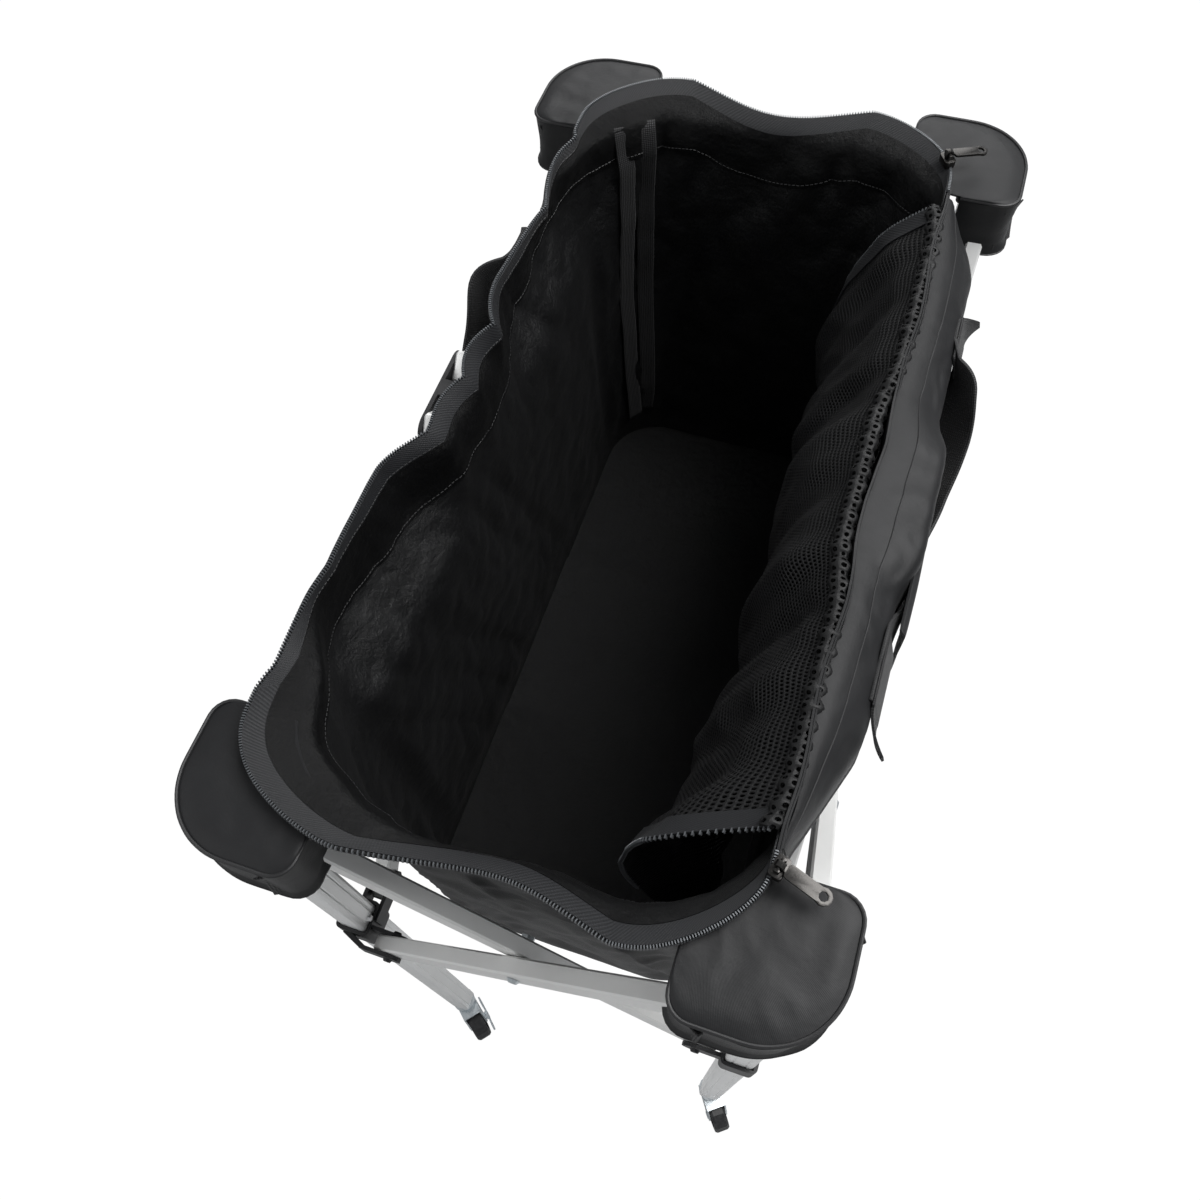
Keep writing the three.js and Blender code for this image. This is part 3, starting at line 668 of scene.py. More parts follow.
@dataclass(frozen=True)
class MouldedNylon:
    """Black moulded plastic with a fine spark-eroded grain."""

    name: str = "moulded_black"
    shade: float = 0.013

    def make(self) -> Material:
        """Builds the material."""
        recipe = Recipe(self.name)
        grain = recipe.speckle(recipe.place((1400, 1400, 1400)), 2.0)
        scuff = recipe.speckle(recipe.place((60, 60, 60)), 5.0, 0.7)
        s = self.shade
        recipe.colour(recipe.ramp(scuff, ((0.35, (s, s, s * 1.06)), (0.8, (s * 2.2, s * 2.2, s * 2.3)))))
        recipe.roughness(recipe.spread(scuff, 0.4, 0.6))
        recipe.set(specular_ior_level=0.35)
        recipe.bump(grain, 0.00006, 0.5)
        return recipe.material


@dataclass(frozen=True)
class ZincPlate:
    """Bright zinc plate with a bluish cast and soft blotches."""

    name: str = "zinc_plate"

    def make(self) -> Material:
        """Builds the material."""
        recipe = Recipe(self.name)
        recipe.set(metallic=0.95)
        blotch = recipe.speckle(recipe.place((110, 110, 110)), 4.0, 0.6)
        brush = recipe.speckle(recipe.place((1500, 300, 1500)), 2.0)
        recipe.colour(recipe.ramp(blotch, ((0.3, (0.55, 0.6, 0.63)), (0.7, (0.78, 0.82, 0.84)))))
        recipe.roughness(recipe.spread(blotch, 0.2, 0.4))
        recipe.bump(brush, 0.00003, 0.4)
        return recipe.material


@dataclass(frozen=True)
class WheelRubber:
    """Black hard rubber, dusty where it rolls."""

    name: str = "wheel_rubber"

    def make(self) -> Material:
        """Builds the material."""
        recipe = Recipe(self.name)
        dust = recipe.speckle(recipe.place((240, 240, 240)), 5.0, 0.65)
        recipe.colour(recipe.ramp(dust, ((0.4, (0.007, 0.007, 0.008)), (0.85, (0.03, 0.03, 0.031)))))
        recipe.roughness(recipe.spread(dust, 0.32, 0.6))
        recipe.bump(dust, 0.0001, 0.4)
        return recipe.material


@dataclass(frozen=True)
class WovenNylon:
    """Coated black nylon: a fine plain weave, soft rumples and a low sheen."""

    name: str
    cloth: Cloth
    shade: float
    threads: float = 1700.0

    def make(self) -> Material:
        """Builds the material."""
        recipe = Recipe(self.name)
        lining = self.cloth is not Cloth.OUTER
        # The lining with painted shade also reflects less, which darkens it further.
        shine = {Cloth.OUTER: 0.26, Cloth.LINING: 0.3, Cloth.BASE: 0.17}[self.cloth]
        recipe.set(sheen_weight=0.01 if lining else 0.03, sheen_roughness=0.4, specular_ior_level=shine)
        warp, weft = (recipe.waves(recipe.place((self.threads,) * 3, True), way) for way in "XY")
        soft = recipe.speckle(recipe.place((22, 22, 22)), 4.0, 0.55)
        crumple = recipe.speckle(recipe.place((75, 75, 75)), 5.0, 0.6)
        pores = recipe.speckle(recipe.place((2600, 2600, 2600)), 1.0)
        s = self.shade
        dark, pale = (s * 0.75, s * 0.77, s * 0.84), (s * 1.5, s * 1.53, s * 1.66)
        tone = recipe.sum(((soft, 0.5), (pores, 0.5)))
        recipe.colour(recipe.ramp(tone, ((0.3, dark), (0.75, pale))))
        rough = (0.34, 0.5) if lining else (0.44, 0.6)
        recipe.roughness(recipe.spread(recipe.sum(((crumple, 0.6), (pores, 0.4))), *rough))
        height = recipe.sum(((crumple, 0.75 if lining else 0.35), (soft, 0.6), (warp, 0.03), (weft, 0.03)))
        recipe.bump(height, 0.0034 if lining else 0.0012, 0.8)
        return recipe.material


@dataclass(frozen=True)
class Webbing:
    """Black polypropylene webbing with rows of ribs along it."""

    name: str = "webbing"
    ribs: float = 520.0
    picks: float = 620.0

    def make(self) -> Material:
        """Builds the material."""
        recipe = Recipe(self.name)
        recipe.set(sheen_weight=0.06, sheen_roughness=0.5, specular_ior_level=0.35)
        rib = recipe.waves(recipe.place((self.ribs, self.ribs, 1), True), "X")
        pick = recipe.waves(recipe.place((self.picks, self.picks, 1), True), "Y")
        fuzz = recipe.speckle(recipe.place((1800, 1800, 1800)), 2.0)
        height = recipe.sum(((rib, 0.55), (pick, 0.35), (fuzz, 0.2)))
        recipe.colour(recipe.ramp(height, ((0.25, (0.002, 0.002, 0.0022)), (0.9, (0.017, 0.017, 0.018)))))
        recipe.roughness(recipe.spread(height, 0.7, 0.45))
        recipe.bump(height, 0.0006, 0.9)
        return recipe.material


@dataclass(frozen=True)
class KnitNet:
    """Black net with staggered round holes, seen through between its cords."""

    name: str = "knit_net"
    pitch: float = 0.0031
    cord: float = 0.34

    def make(self) -> Material:
        """Builds the material."""
        recipe = Recipe(self.name)
        count = 1 / self.pitch
        where = recipe.place((count, count * 0.87, 1), True)
        split = recipe.add("SeparateXYZ")
        recipe.link(where, split.inputs[0])
        row = recipe.math("FLOOR", split.outputs["Y"])
        odd = recipe.math("FLOORED_MODULO", row, 2.0)
        across = recipe.sum(((odd, 0.5), (split.outputs["X"], 1.0)))
        centred = [
            recipe.math("SUBTRACT", recipe.math("FRACT", socket), 0.5)
            for socket in (across, split.outputs["Y"])
        ]
        squares = [recipe.math("MULTIPLY", socket, socket) for socket in centred]
        distance = recipe.math("SQRT", recipe.sum(((squares[0], 1.0), (squares[1], 1.15))))
        recipe.link(recipe.math("GREATER_THAN", distance, self.cord), recipe.shader.inputs["Alpha"])
        fuzz = recipe.speckle(recipe.place((1500, 1500, 1500)), 2.0)
        recipe.colour(recipe.ramp(fuzz, ((0.3, (0.002, 0.002, 0.0022)), (0.8, (0.009, 0.009, 0.0096)))))
        recipe.roughness(recipe.spread(fuzz, 0.4, 0.65))
        recipe.bump(recipe.sum(((distance, 1.0), (fuzz, 0.2))), 0.0012, 0.8)
        recipe.set(sheen_weight=0.02, specular_ior_level=0.28)
        return recipe.material


@dataclass(frozen=True)
class ZipTape:
    """Ribbed zip tape, a little greyer than the cloth it is sewn to."""

    name: str = "zip_tape"

    def make(self) -> Material:
        """Builds the material."""
        recipe = Recipe(self.name)
        ribs = recipe.waves(recipe.place((1100, 1100, 1), True), "X")
        herring = recipe.waves(recipe.place((700, 700, 1), True), "DIAGONAL")
        height = recipe.sum(((ribs, 0.5), (herring, 0.5)))
        recipe.colour(recipe.ramp(height, ((0.2, (0.003, 0.0032, 0.0038)), (0.9, (0.014, 0.0148, 0.017)))))
        recipe.roughness(recipe.spread(height, 0.65, 0.45))
        recipe.bump(height, 0.0003, 0.8)
        recipe.set(sheen_weight=0.03, specular_ior_level=0.3)
        return recipe.material


@dataclass(frozen=True)
class PlainSpeckled:
    """A hard or sewn trim finish: one colour, broken by a fine grain."""

    name: str
    tone: tuple[float, float, float]
    metal: float = 0.0
    rough: tuple[float, float] = (0.3, 0.45)
    grain: float = 600.0
    depth: float = 0.00004

    def make(self) -> Material:
        """Builds the material."""
        recipe = Recipe(self.name)
        recipe.set(metallic=self.metal)
        grain = recipe.speckle(recipe.place((self.grain,) * 3), 3.0)
        low = tuple(c * 0.75 for c in self.tone)
        recipe.colour(recipe.ramp(grain, ((0.3, low), (0.7, self.tone))))
        recipe.roughness(recipe.spread(grain, *self.rough))
        recipe.bump(grain, self.depth, 0.5)
        return recipe.material


def coat(finish: Any) -> Any:
    """Makes a field that holds the material of a finish."""
    return field(default_factory=finish.make)


@dataclass
class Finishes:
    """Every finish on the cart."""

    leg_tube: Material = coat(DrawnAluminium("drawn_tube_leg"))
    bar_tube: Material = coat(DrawnAluminium("drawn_tube_bar", (0.9, 0.9, 0.885)))
    plastic: Material = coat(MouldedNylon())
    zinc: Material = coat(ZincPlate())
    rubber: Material = coat(WheelRubber())
    outer: Material = coat(WovenNylon("nylon_outer", Cloth.OUTER, 0.0072))
    lining: Material = coat(WovenNylon("nylon_lining", Cloth.LINING, 0.0034))
    # Painted shade: the lining made darker and less shiny to stand for the shade the walls cast on the bag's
    # floor; the rim facing uses it too.
    base: Material = coat(WovenNylon("nylon_base", Cloth.BASE, 0.0017))
    net: Material = coat(KnitNet())
    coarse_net: Material = coat(KnitNet("coarse_net", 0.0054, 0.29))
    webbing: Material = coat(Webbing())
    tape: Material = coat(ZipTape())
    teeth: Material = coat(PlainSpeckled("zip_teeth", (0.13, 0.137, 0.145), 0.5, (0.25, 0.4)))
    gunmetal: Material = coat(PlainSpeckled("dark_nickel", (0.045, 0.043, 0.041), 0.85, (0.2, 0.38)))
    piping: Material = coat(
        PlainSpeckled("piping_cord", (0.006, 0.006, 0.0068), 0.0, (0.45, 0.6), 1400.0, 0.0002)
    )
    thread: Material = coat(
        PlainSpeckled("sewing_thread", (0.007, 0.007, 0.0078), 0.0, (0.4, 0.6), 2400.0, 0.0001)
    )


# The bag


@dataclass
class BagForm:
    """The bag's shape, in metres: a tapered sack whose lip leans out over the hoods."""

    floor: float = 0.585
    rim: float = 1.018
    shoulder: float = 1.0075
    swell_low: float = 0.880
    swell_high: float = 0.958
    bottom: tuple[float, float, float] = (0.1425, 0.3115, 0.062)
    top: tuple[float, float, float] = (0.1555, 0.3360, 0.084)
    lip_low: float = 0.890
    lip_high: float = 0.968
    lip_low_middle: float = 0.9905
    lip_low_corner: float = 0.9985
    lip_left: tuple[float, float] = (0.0300, 0.0080)
    lip_right: float = -0.0010
    lip_end: float = 0.0230
    lip_radius: float = 0.0780
    swell: float = 0.0145
    swell_near: tuple[float, float] = (0.050, 0.115)
    swell_far: tuple[float, float] = (0.225, 0.300)
    droop_side: float = 0.012
    droop_end: float = 0.008
    straight_half: float = 0.281
    arc: float = 0.33

    def lip(self, z: float, low: float) -> float:
        """How much of the lip's lean there is at a height, if it starts at low, from 0 to 1."""
        return min(1.0, max(0.0, (z - low) / (self.rim - low))) ** 1.5

    def half(self, z: float) -> tuple[float, float, float]:
        """The half sizes and corner radius at a height, without the side walls' lean.

        Args:
            z: the height.

        Returns:
            The half width, half length and corner radius.
        """
        share = math.sqrt(min(1.0, max(0.0, (z - self.floor) / (self.shoulder - self.floor))))
        hx, hy, r = (mix(a, b, share) for a, b in zip(self.bottom, self.top))
        lean = self.lip(z, self.lip_low_corner)
        return hx, hy + self.lip_end * lean, mix(r, self.lip_radius, lean)

    def side_lean(self, side: Side, y: float, z: float) -> float:
        """How far a long wall leans out at its lip.

        Args:
            side: which long wall.
            y: the place along it.
            z: the height.

        Returns:
            The lean in metres.
        """
        if side is Side.RIGHT:
            return self.lip_right * self.lip(z, self.lip_low_corner)
        middle = 1 - smoothstep(0.045, 0.10, abs(y))
        corner = smoothstep(0.20, 0.27, abs(y))
        over_bars = smoothstep(self.lip_low, self.lip_high, z)
        lean = mix(over_bars, self.lip(z, self.lip_low_middle), middle)
        lean = mix(lean, self.lip(z, self.lip_low_corner), corner)
        return mix(self.lip_left[0], self.lip_left[1], smoothstep(-0.12, 0.12, y)) * lean

    def swell_at(self, y: float, z: float, x_sign: float) -> float:
        """How far a long wall swells out between the bars.

        Args:
            y: the place along the wall.
            z: the height.
            x_sign: the sign of the wall's X.

        Returns:
            The swell in metres.
        """
        share = smoothstep(*self.swell_near, abs(y)) * (1 - smoothstep(*self.swell_far, abs(y)))
        share *= mix(1.0, 0.35, smoothstep(0.12, -0.12, y) if x_sign < 0 else 0.0)
        rise = smoothstep(self.swell_low, self.swell_high, z)
        turned_in = smoothstep(self.swell_high, self.rim, z)
        return self.swell * share * rise * (1 - turned_in)

    def rim_height(self, end: bool, share: float) -> float:
        """The rim's height along one wall.

        Args:
            end: whether it is a short wall.
            share: the place along the straight part, from 0 to 1.

        Returns:
            The height in metres.
        """
        low = self.droop_end if end else self.droop_side
        inside = min(1.0, max(0.0, share))
        return self.rim - low * math.sin(math.pi * inside)

    def side_share(self, y: float) -> float:
        """The share along a long wall's straight part, from front to back."""
        return (y + self.straight_half) / (2 * self.straight_half)

    def end_point(self, end: End, a: float, z: float) -> tuple[Vector, Vector]:
        """A point on a short wall, whose two corners belong to it.

        Args:
            end: which short wall.
            a: the place along the wall, from 0 to 1.
            z: the height.

        Returns:
            The point and the way out from it.
        """
        hx, hy, r = self.half(z)
        cx, cy = hx - r, hy - r
        share = min(1.0, max(0.0, (a - self.arc) / (1 - 2 * self.arc)))
        angle = 1.5 * math.pi
        if a < self.arc:
            angle = math.pi * (1 + a / self.arc / 2)
        elif a > 1 - self.arc:
            angle = math.pi * (1.5 + (a - 1 + self.arc) / self.arc / 2)
        nx, ny = math.cos(angle), math.sin(angle)
        x, y = mix(-cx, cx, share) + r * nx, -cy + r * ny
        s = 1 if end is End.FRONT else -1
        x, y, nx, ny = s * x, s * y, s * nx, s * ny
        side = Side.RIGHT if x > 0 else Side.LEFT
        share = smoothstep(0.0, hx, abs(x))
        x += side.value * (self.side_lean(side, y, z) * share + self.swell_at(y, z, x) * nx * nx)
        return Vector((x, y, z)), Vector((nx, ny, 0))

    def right_wall(self, y: float, z: float) -> float:
        """How far out the right wall stands, also where it turns into the short walls.

        Args:
            y: the place along it.
            z: the height.

        Returns:
            The wall's X.
        """
        hx, hy, r = self.half(z)
        over = min(r, max(0.0, abs(y) - (hy - r)))
        return hx - r + math.sqrt(r * r - over * over) + self.swell_at(y, z, 1.0)

    def side_point(self, side: Side, a: float, z: float) -> tuple[Vector, Vector]:
        """A point on a long wall between its corners.

        Args:
            side: which long wall.
            a: the place along the wall from front to back, from 0 to 1.
            z: the height.

        Returns:
            The point and the way out from it.
        """
        hx, hy, r = self.half(z)
        y = mix(-(hy - r), hy - r, a)
        x = hx + self.side_lean(side, y, z) + self.swell_at(y, z, side.value)
        return Vector((side.value * x, y, z)), Vector((side.value, 0, 0))


class Folding:
    """How the cloth pieces follow the cart as it folds."""

    ACROSS = ((1.0, 0.0, 0.0), (-0.157, 0.0, 0.8), 0.338)
    ALONG = ((0.0, 1.0, 0.0), (0.0, 0.0, 0.8), 0.168)

    @staticmethod
    def carry(piece: Piece, body: str, way: tuple | None) -> Piece:
        """Lets a piece ride on a body, with a mesh of its own when a way is given.

        Args:
            piece: the piece.
            body: the body it rides on.
            way: ACROSS, ALONG or None.

        Returns:
            The same piece.
        """
        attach(piece, body)
        if way is not None:
            axis, anchor, keep = way
            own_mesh(piece)
            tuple(axis)
            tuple(anchor)
        return piece

    @staticmethod
    def of_side(piece: Piece, side: Side) -> Piece:
        """Lets a piece go with a long wall."""
        return Folding.carry(piece, f"mid_{side.name.lower()}_upper", Folding.ALONG)

    @staticmethod
    def of_end(piece: Piece, end: End) -> Piece:
        """Lets a piece go with a short wall."""
        return Folding.carry(piece, f"corner_{end.name.lower()}_left", Folding.ACROSS)


@dataclass
class BagWalls:
    """The cloth walls of the bag, in four pieces, and its floor, in three."""

    form: BagForm
    finishes: Finishes
    cloth: float = 0.0016
    seam: float = 0.0110
    column: float = 0.0042
    end_length: float = 0.412
    billow: Crumple = Crumple(0.0045, (0.17, 0.2))
    pleat: Crumple = Crumple(0.0046, (0.07, 0.42), 3.0, 5.0, 0.65)
    crease: Crumple = Crumple(0.0019, (0.032, 0.05), 7.0, 9.0, 0.5)
    hollow: float = 0.0042
    wave: float = 0.0058
    wave_pitch: float = 0.082
    right_wave: float = 0.0018
    right_wave_pitch: float = 0.13
    end_wave: float = 0.0016
    end_run: float = 0.42
    floor_cuts: tuple[float, float] = (-0.094, 0.096)
    floor_lap: float = 0.006
    floor_row: float = 0.0045
    floor_columns: int = 68
    floor_reach: float = 0.0004
    floor_lift: float = 0.0032
    floor_sag: float = 0.005
    floor_wrinkle: Crumple = Crumple(0.0007, (0.06, 0.09), 1.0, 4.0, 0.6)

    def ripple(self, along: float, z: float, seed: float) -> float:
        """How far the cloth stands out of the plain wall.

        Args:
            along: the place along the wall in metres.
            z: the height.
            seed: which wall.

        Returns:
            The distance in metres.
        """
        depth = self.form.rim - z
        free = smoothstep(0.0, 0.05, depth) * smoothstep(0.0, 0.045, z - self.form.floor)
        pleat = self.pleat.at(along + 0.35 * (z - 0.8), z, seed)
        height = self.billow.at(along, z, seed) + pleat + self.crease.at(along, z, seed)
        return free * (height - self.hollow)

    def rim_wave(self, along: float, z: float, side: Side | None) -> float:
        """The rim's scallops, which fade down the wall.

        Args:
            along: the place along the wall in metres.
            z: the height.
            side: which long wall, or None for a short one.

        Returns:
            The distance outwards in metres.
        """
        if side is None:
            return self.end_wave * math.sin(along * 50) * smoothstep(0.9, 1.0, z)
        if side is Side.RIGHT:
            turn = 2 * math.pi * along / self.right_wave_pitch
            return self.right_wave * math.sin(turn) * smoothstep(0.96, 1.01, z)
        fade = smoothstep(0.965, 1.012, z)
        turn = 2 * math.pi * (along / self.wave_pitch + 0.35 * math.sin(along * 21))
        cusp = 1 - 2 * abs(math.sin(turn / 2)) ** 0.8
        size = mix(0.35, 1.0, smoothstep(-0.12, 0.1, along)) * self.wave
        return -fade * size * cusp

    def side_at(self, side: Side) -> PointOf:
        """The surface of a long wall.

        Args:
            side: which long wall.

        Returns:
            The place at the shares along and up the wall.
        """

        def at(a: float, b: float) -> Vector:
            """The place along and up the wall."""
            z = mix(self.form.floor - self.seam, self.form.rim_height(False, a), b)
            point, out = self.form.side_point(side, a, z)
            shift = self.ripple(point.y, z, 11.0 + side.value) + self.rim_wave(point.y, z, side)
            edge = smoothstep(0.0, 0.05, a) * smoothstep(0.0, 0.05, 1 - a)
            return point + out * (shift * edge)

        return at

    def end_at(self, end: End, inset: float = 0.0) -> PointOf:
        """The surface of a short wall and its corners.

        Args:
            end: which short wall.
            inset: how far inside the cloth's middle, in metres.

        Returns:
            The place at the shares along and up the wall.
        """
        straight = 1 - 2 * self.form.arc

        def at(a: float, b: float) -> Vector:
            """The place along and up the wall."""
            share = (a - self.form.arc) / straight
            z = mix(self.form.floor - self.seam, self.form.rim_height(True, share), b)
            point, out = self.form.end_point(end, a, z)
            along = a * self.end_run
            shift = self.ripple(along, z, 31.0 + end.value) + self.rim_wave(along, z, None)
            edge = smoothstep(0.0, 0.07, a) * smoothstep(0.0, 0.07, 1 - a)
            return point + out * (shift * edge - inset)

        return at

    def build(self) -> list[Piece]:
        """Builds the four walls and the floor.

        Returns:
            The pieces.
        """
        side_length = 2 * (self.form.top[1] - self.form.top[2])
        made = [Folding.of_side(self.wall(side, self.side_at(side), side_length), side) for side in Side]
        made += [Folding.of_end(self.wall(end, self.end_at(end), self.end_length), end) for end in End]
        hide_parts("bag_shell")
        made += self.build_floor()
        return made

    def wall(self, which: Side | End, at: PointOf, length: float) -> Piece:
        """Builds one wall, with its lining inside and its cloth outside.

        Args:
            which: which wall.
            at: its surface.
            length: its cut length.

        Returns:
            The wall.
        """
        height = self.form.rim - self.form.floor
        columns, rows = round(length / self.column), round(height / self.column)
        flip = which is Side.LEFT

        def denser_above(a: float, b: float) -> Vector:
            """The wall's surface with its rows closer together towards the rim."""
            return at(1 - a if flip else a, 1 - (1 - b) ** 1.5)

        sheet = Bench.grid(
            f"bag_wall_{which.name.lower()}", columns, rows, denser_above, (length, height)
        )
        sheet.data.materials.append(self.finishes.outer)
        sheet.data.materials.append(self.finishes.lining)
        return Bench.shade(Bench.thicken(sheet, self.cloth, inside=1), 60)

    def floor_at(self, low: float, high: float, lift: float) -> PointOf:
        """The surface of one strip of the floor.

        Args:
            low: the Y of its front edge.
            high: the Y of its back edge.
            lift: how far it lies above the middle strip.

        Returns:
            The place at the shares across and along the strip.
        """
        hx, hy, r = self.form.bottom
        hx, hy = hx + self.floor_reach, hy + self.floor_reach

        def at(a: float, b: float) -> Vector:
            """The place across and along the strip."""
            y = mix(low, high, b)
            over = max(0.0, abs(y) - (hy - r))
            wide = hx - r + math.sqrt(max(0.0, r * r - over * over))
            x = mix(-wide, wide, a)
            rim = min(1.0, (1 - abs(2 * a - 1)) * 6) * min(1.0, (hy - abs(y)) / 0.05)
            sag = self.floor_sag * (1 - (x / hx) ** 2)
            return Vector((x, y, self.form.floor - sag + self.floor_wrinkle.at(x, y) * rim + lift))

        return at

    def build_floor(self) -> list[Piece]:
        """Builds the floor in three strips, each riding its own body.

        Returns:
            The strips.
        """
        half = self.form.bottom[1] + self.floor_reach
        first, second = self.floor_cuts
        strips = (
            ("bag_floor_front", -half, first, "corner_front_left", self.floor_lift),
            ("bag_floor_middle", first - self.floor_lap, second, "mid_left_upper", 0.0),
            ("bag_floor_back", second - self.floor_lap, half, "corner_back_left", -self.floor_lift),
        )
        made = []
        for name, low, high, body, lift in strips:
            rows = round((high - low) / self.floor_row)
            strip = Bench.grid(name, self.floor_columns, rows, self.floor_at(low, high, lift))
            # The floor strips take the lining darkened as painted shade from the walls.
            Bench.make_cloth(strip, self.finishes.base, self.cloth)
            made.append(Folding.carry(strip, body, Folding.ACROSS))
        return made


@dataclass(frozen=True)
class Ribbon:
    """A strip along the rim: how far below it starts and ends, how far out it lies, and its thickness."""

    kind: str
    top: float
    bottom: float
    out: float
    thickness: float


@dataclass
class Stretch:
    """One of the rim's four stretches, with its wall's surface and its length."""

    form: BagForm
    wall: Side | End
    at: PointOf
    length: float
    samples: int = 300
    step: float = 0.0015
    steps: int = 50
    profiles: dict[int, list[tuple[float, float]]] = field(default_factory=dict)

    @property
    def label(self) -> str:
        """The stretch's name in its pieces' names."""
        return self.wall.name.lower()

    def profile(self, key: int) -> list[tuple[float, float]]:
        """Measures down the wall from the rim.

        Args:
            key: which of the samples along the wall.

        Returns:
            Pairs of a length of cloth and the share up the wall.
        """
        height = self.form.rim - self.form.floor
        spots = [1 - self.step * k / height for k in range(self.steps)]
        places = [self.at(key / self.samples, spot) for spot in spots]
        run, profile = 0.0, [(0.0, 1.0)]
        for k in range(1, len(spots)):
            run += (places[k] - places[k - 1]).length
            profile.append((run, spots[k]))
        return profile

    def share_below(self, a: float, depth: float) -> float:
        """Finds the place on the wall at a length of cloth below the rim.

        Args:
            a: the share along the wall.
            depth: the length of cloth in metres.

        Returns:
            The share up the wall.
        """
        key = round(a * self.samples)
        if key not in self.profiles:
            self.profiles[key] = self.profile(key)
        profile = self.profiles[key]
        for (near, high), (far, low) in zip(profile, profile[1:]):
            if depth <= far:
                return mix(high, low, (depth - near) / (far - near))
        return profile[-1][1]

    def outward(self, a: float, b: float) -> Vector:
        """The way out of the bag at a place on its wall.

        Args:
            a: the share along it.
            b: the share up it.

        Returns:
            A level direction of length 1.
        """
        step = 0.01
        along = self.at(min(1, a + step), b) - self.at(max(0, a - step), b)
        out = Vector((along.y, -along.x, 0)).normalized()
        middle = self.at(a, b)
        half_x, half_y, _ = self.form.top
        if out.dot(Vector((middle.x / half_x, middle.y / half_y, 0))) < 0:
            out.negate()
        return out

    def lay(self, ribbon: Ribbon, finish: Material) -> Piece:
        """Makes a strip that lies on the wall below the rim.

        Args:
            ribbon: the strip.
            finish: its material.

        Returns:
            The strip.
        """

        def place(a: float, b: float) -> Vector:
            """The place along the strip and up it."""
            share = self.share_below(a, mix(ribbon.bottom, ribbon.top, b))
            outward = self.outward(a, share)
            rise = self.at(a, min(1.0, share + 0.004)) - self.at(a, share - 0.004)
            normal = (outward - rise * (outward.dot(rise) / rise.length_squared)).normalized()
            return self.at(a, share) + normal * ribbon.out

        size = (self.length, ribbon.bottom - ribbon.top)
        piece = Bench.grid(f"{ribbon.kind}_{self.label}", round(self.length / 0.004), 10, place, size)
        return Bench.make_cloth(piece, finish, ribbon.thickness, 50)


@dataclass
class RimTrim:
    """What is sewn round the bag's mouth: facing band, zip tape, teeth and seams."""

    TAPE: ClassVar[Ribbon] = Ribbon("zip_tape", 0.0003, 0.015, -0.0020, 0.0009)
    BAND: ClassVar[Ribbon] = Ribbon("rim_band", 0.0012, 0.034, 0.0016, 0.0010)
    FACING: ClassVar[Ribbon] = Ribbon("rim_facing", 0.0145, 0.062, -0.0026, 0.0008)
    walls: BagWalls
    finishes: Finishes
    end_length: float = 0.44
    tooth_pitch: float = 0.0021
    tooth: tuple[float, float, float] = (0.0032, 0.0012, 0.0020)
    tooth_sunk: float = 0.0004
    tooth_taper: float = 0.6
    seams: tuple[tuple[float, float], ...] = (
        (0.0280, 0.0024),
        (0.0315, 0.0024),
        (0.0125, -0.0027),
        (0.0580, -0.0033),
    )
    stitch_pitch: float = 0.0038
    stitch_ends: tuple[float, float] = (0.15, 0.8)
    thread: float = 0.00035

    def stretches(self) -> list[Stretch]:
        """The four stretches of the rim."""
        form = self.walls.form
        side_length = 2 * (form.half(form.rim)[1] - form.lip_radius)
        sides = [Stretch(form, side, self.walls.side_at(side), side_length) for side in Side]
        return sides + [Stretch(form, end, self.walls.end_at(end), self.end_length) for end in End]

    def build(self) -> list[Piece]:
        """Builds the trim of all four stretches.

        Returns:
            The pieces.
        """
        made = []
        for stretch in self.stretches():
            trim = []
            if stretch.wall is not Side.RIGHT:
                trim = [stretch.lay(self.TAPE, self.finishes.tape), self.teeth(stretch)]
            trim.append(stretch.lay(self.BAND, self.finishes.outer))
            # The facing takes the lining darkened as painted shade.
            trim.append(stretch.lay(self.FACING, self.finishes.base))
            trim.append(self.stitches(stretch))
            carry = Folding.of_side if isinstance(stretch.wall, Side) else Folding.of_end
            for piece in trim:
                made.append(carry(piece, stretch.wall))
        return made

    def teeth(self, stretch: Stretch) -> Piece:
        """Sets the zip's teeth along the crest.

        Args:
            stretch: the stretch of the rim.

        Returns:
            One piece with all the teeth of the stretch.
        """
        bricks = Bricks()
        count = round(stretch.length / self.tooth_pitch)
        wide, long, high = self.tooth
        levels = ((Vector((0, 0, -self.tooth_sunk)), 1.0), (Vector((0, 0, high)), self.tooth_taper))
        for k in range(count):
            a = (k + 0.5) / count
            out = stretch.outward(a, 1.0)
            along = Vector((-out.y, out.x, 0))
            foot = stretch.at(a, 1.0) - out * self.tooth_sunk
            bricks.add(foot, out * (wide / 2), along * (long / 2), levels)
        return bricks.piece(f"zip_teeth_{stretch.label}", self.finishes.teeth)

    def stitches(self, stretch: Stretch) -> Piece:
        """Sews two rows of stitches on the band outside and two on the facing inside.

        Args:
            stretch: the stretch of the rim.

        Returns:
            One piece with all the stitches of the stretch.
        """
        points: list[Vector] = []
        faces: list[tuple[int, ...]] = []
        count = round(stretch.length / self.stitch_pitch)
        thick = self.thread
        for depth, outside in self.seams:
            crest = thick if outside > 0 else -thick
            for k in range(count):
                first = len(points)
                for share_along in self.stitch_ends:
                    a = (k + share_along) / count
                    share = stretch.share_below(a, depth)
                    out = stretch.outward(a, share)
                    centre = stretch.at(a, share) + out * outside
                    for up, lift in ((-thick, 0), (0, crest), (thick, 0)):
                        points.append(centre + Vector((0, 0, up)) + out * lift)
                prism = ((0, 1, 4, 3), (1, 2, 5, 4), (2, 0, 3, 5), (2, 1, 0), (3, 4, 5))
                faces += [tuple(first + i for i in side) for side in prism]
        piece = Bench.mesh(f"rim_stitches_{stretch.label}", points, faces)
        piece.data.materials.append(self.finishes.thread)
        return piece


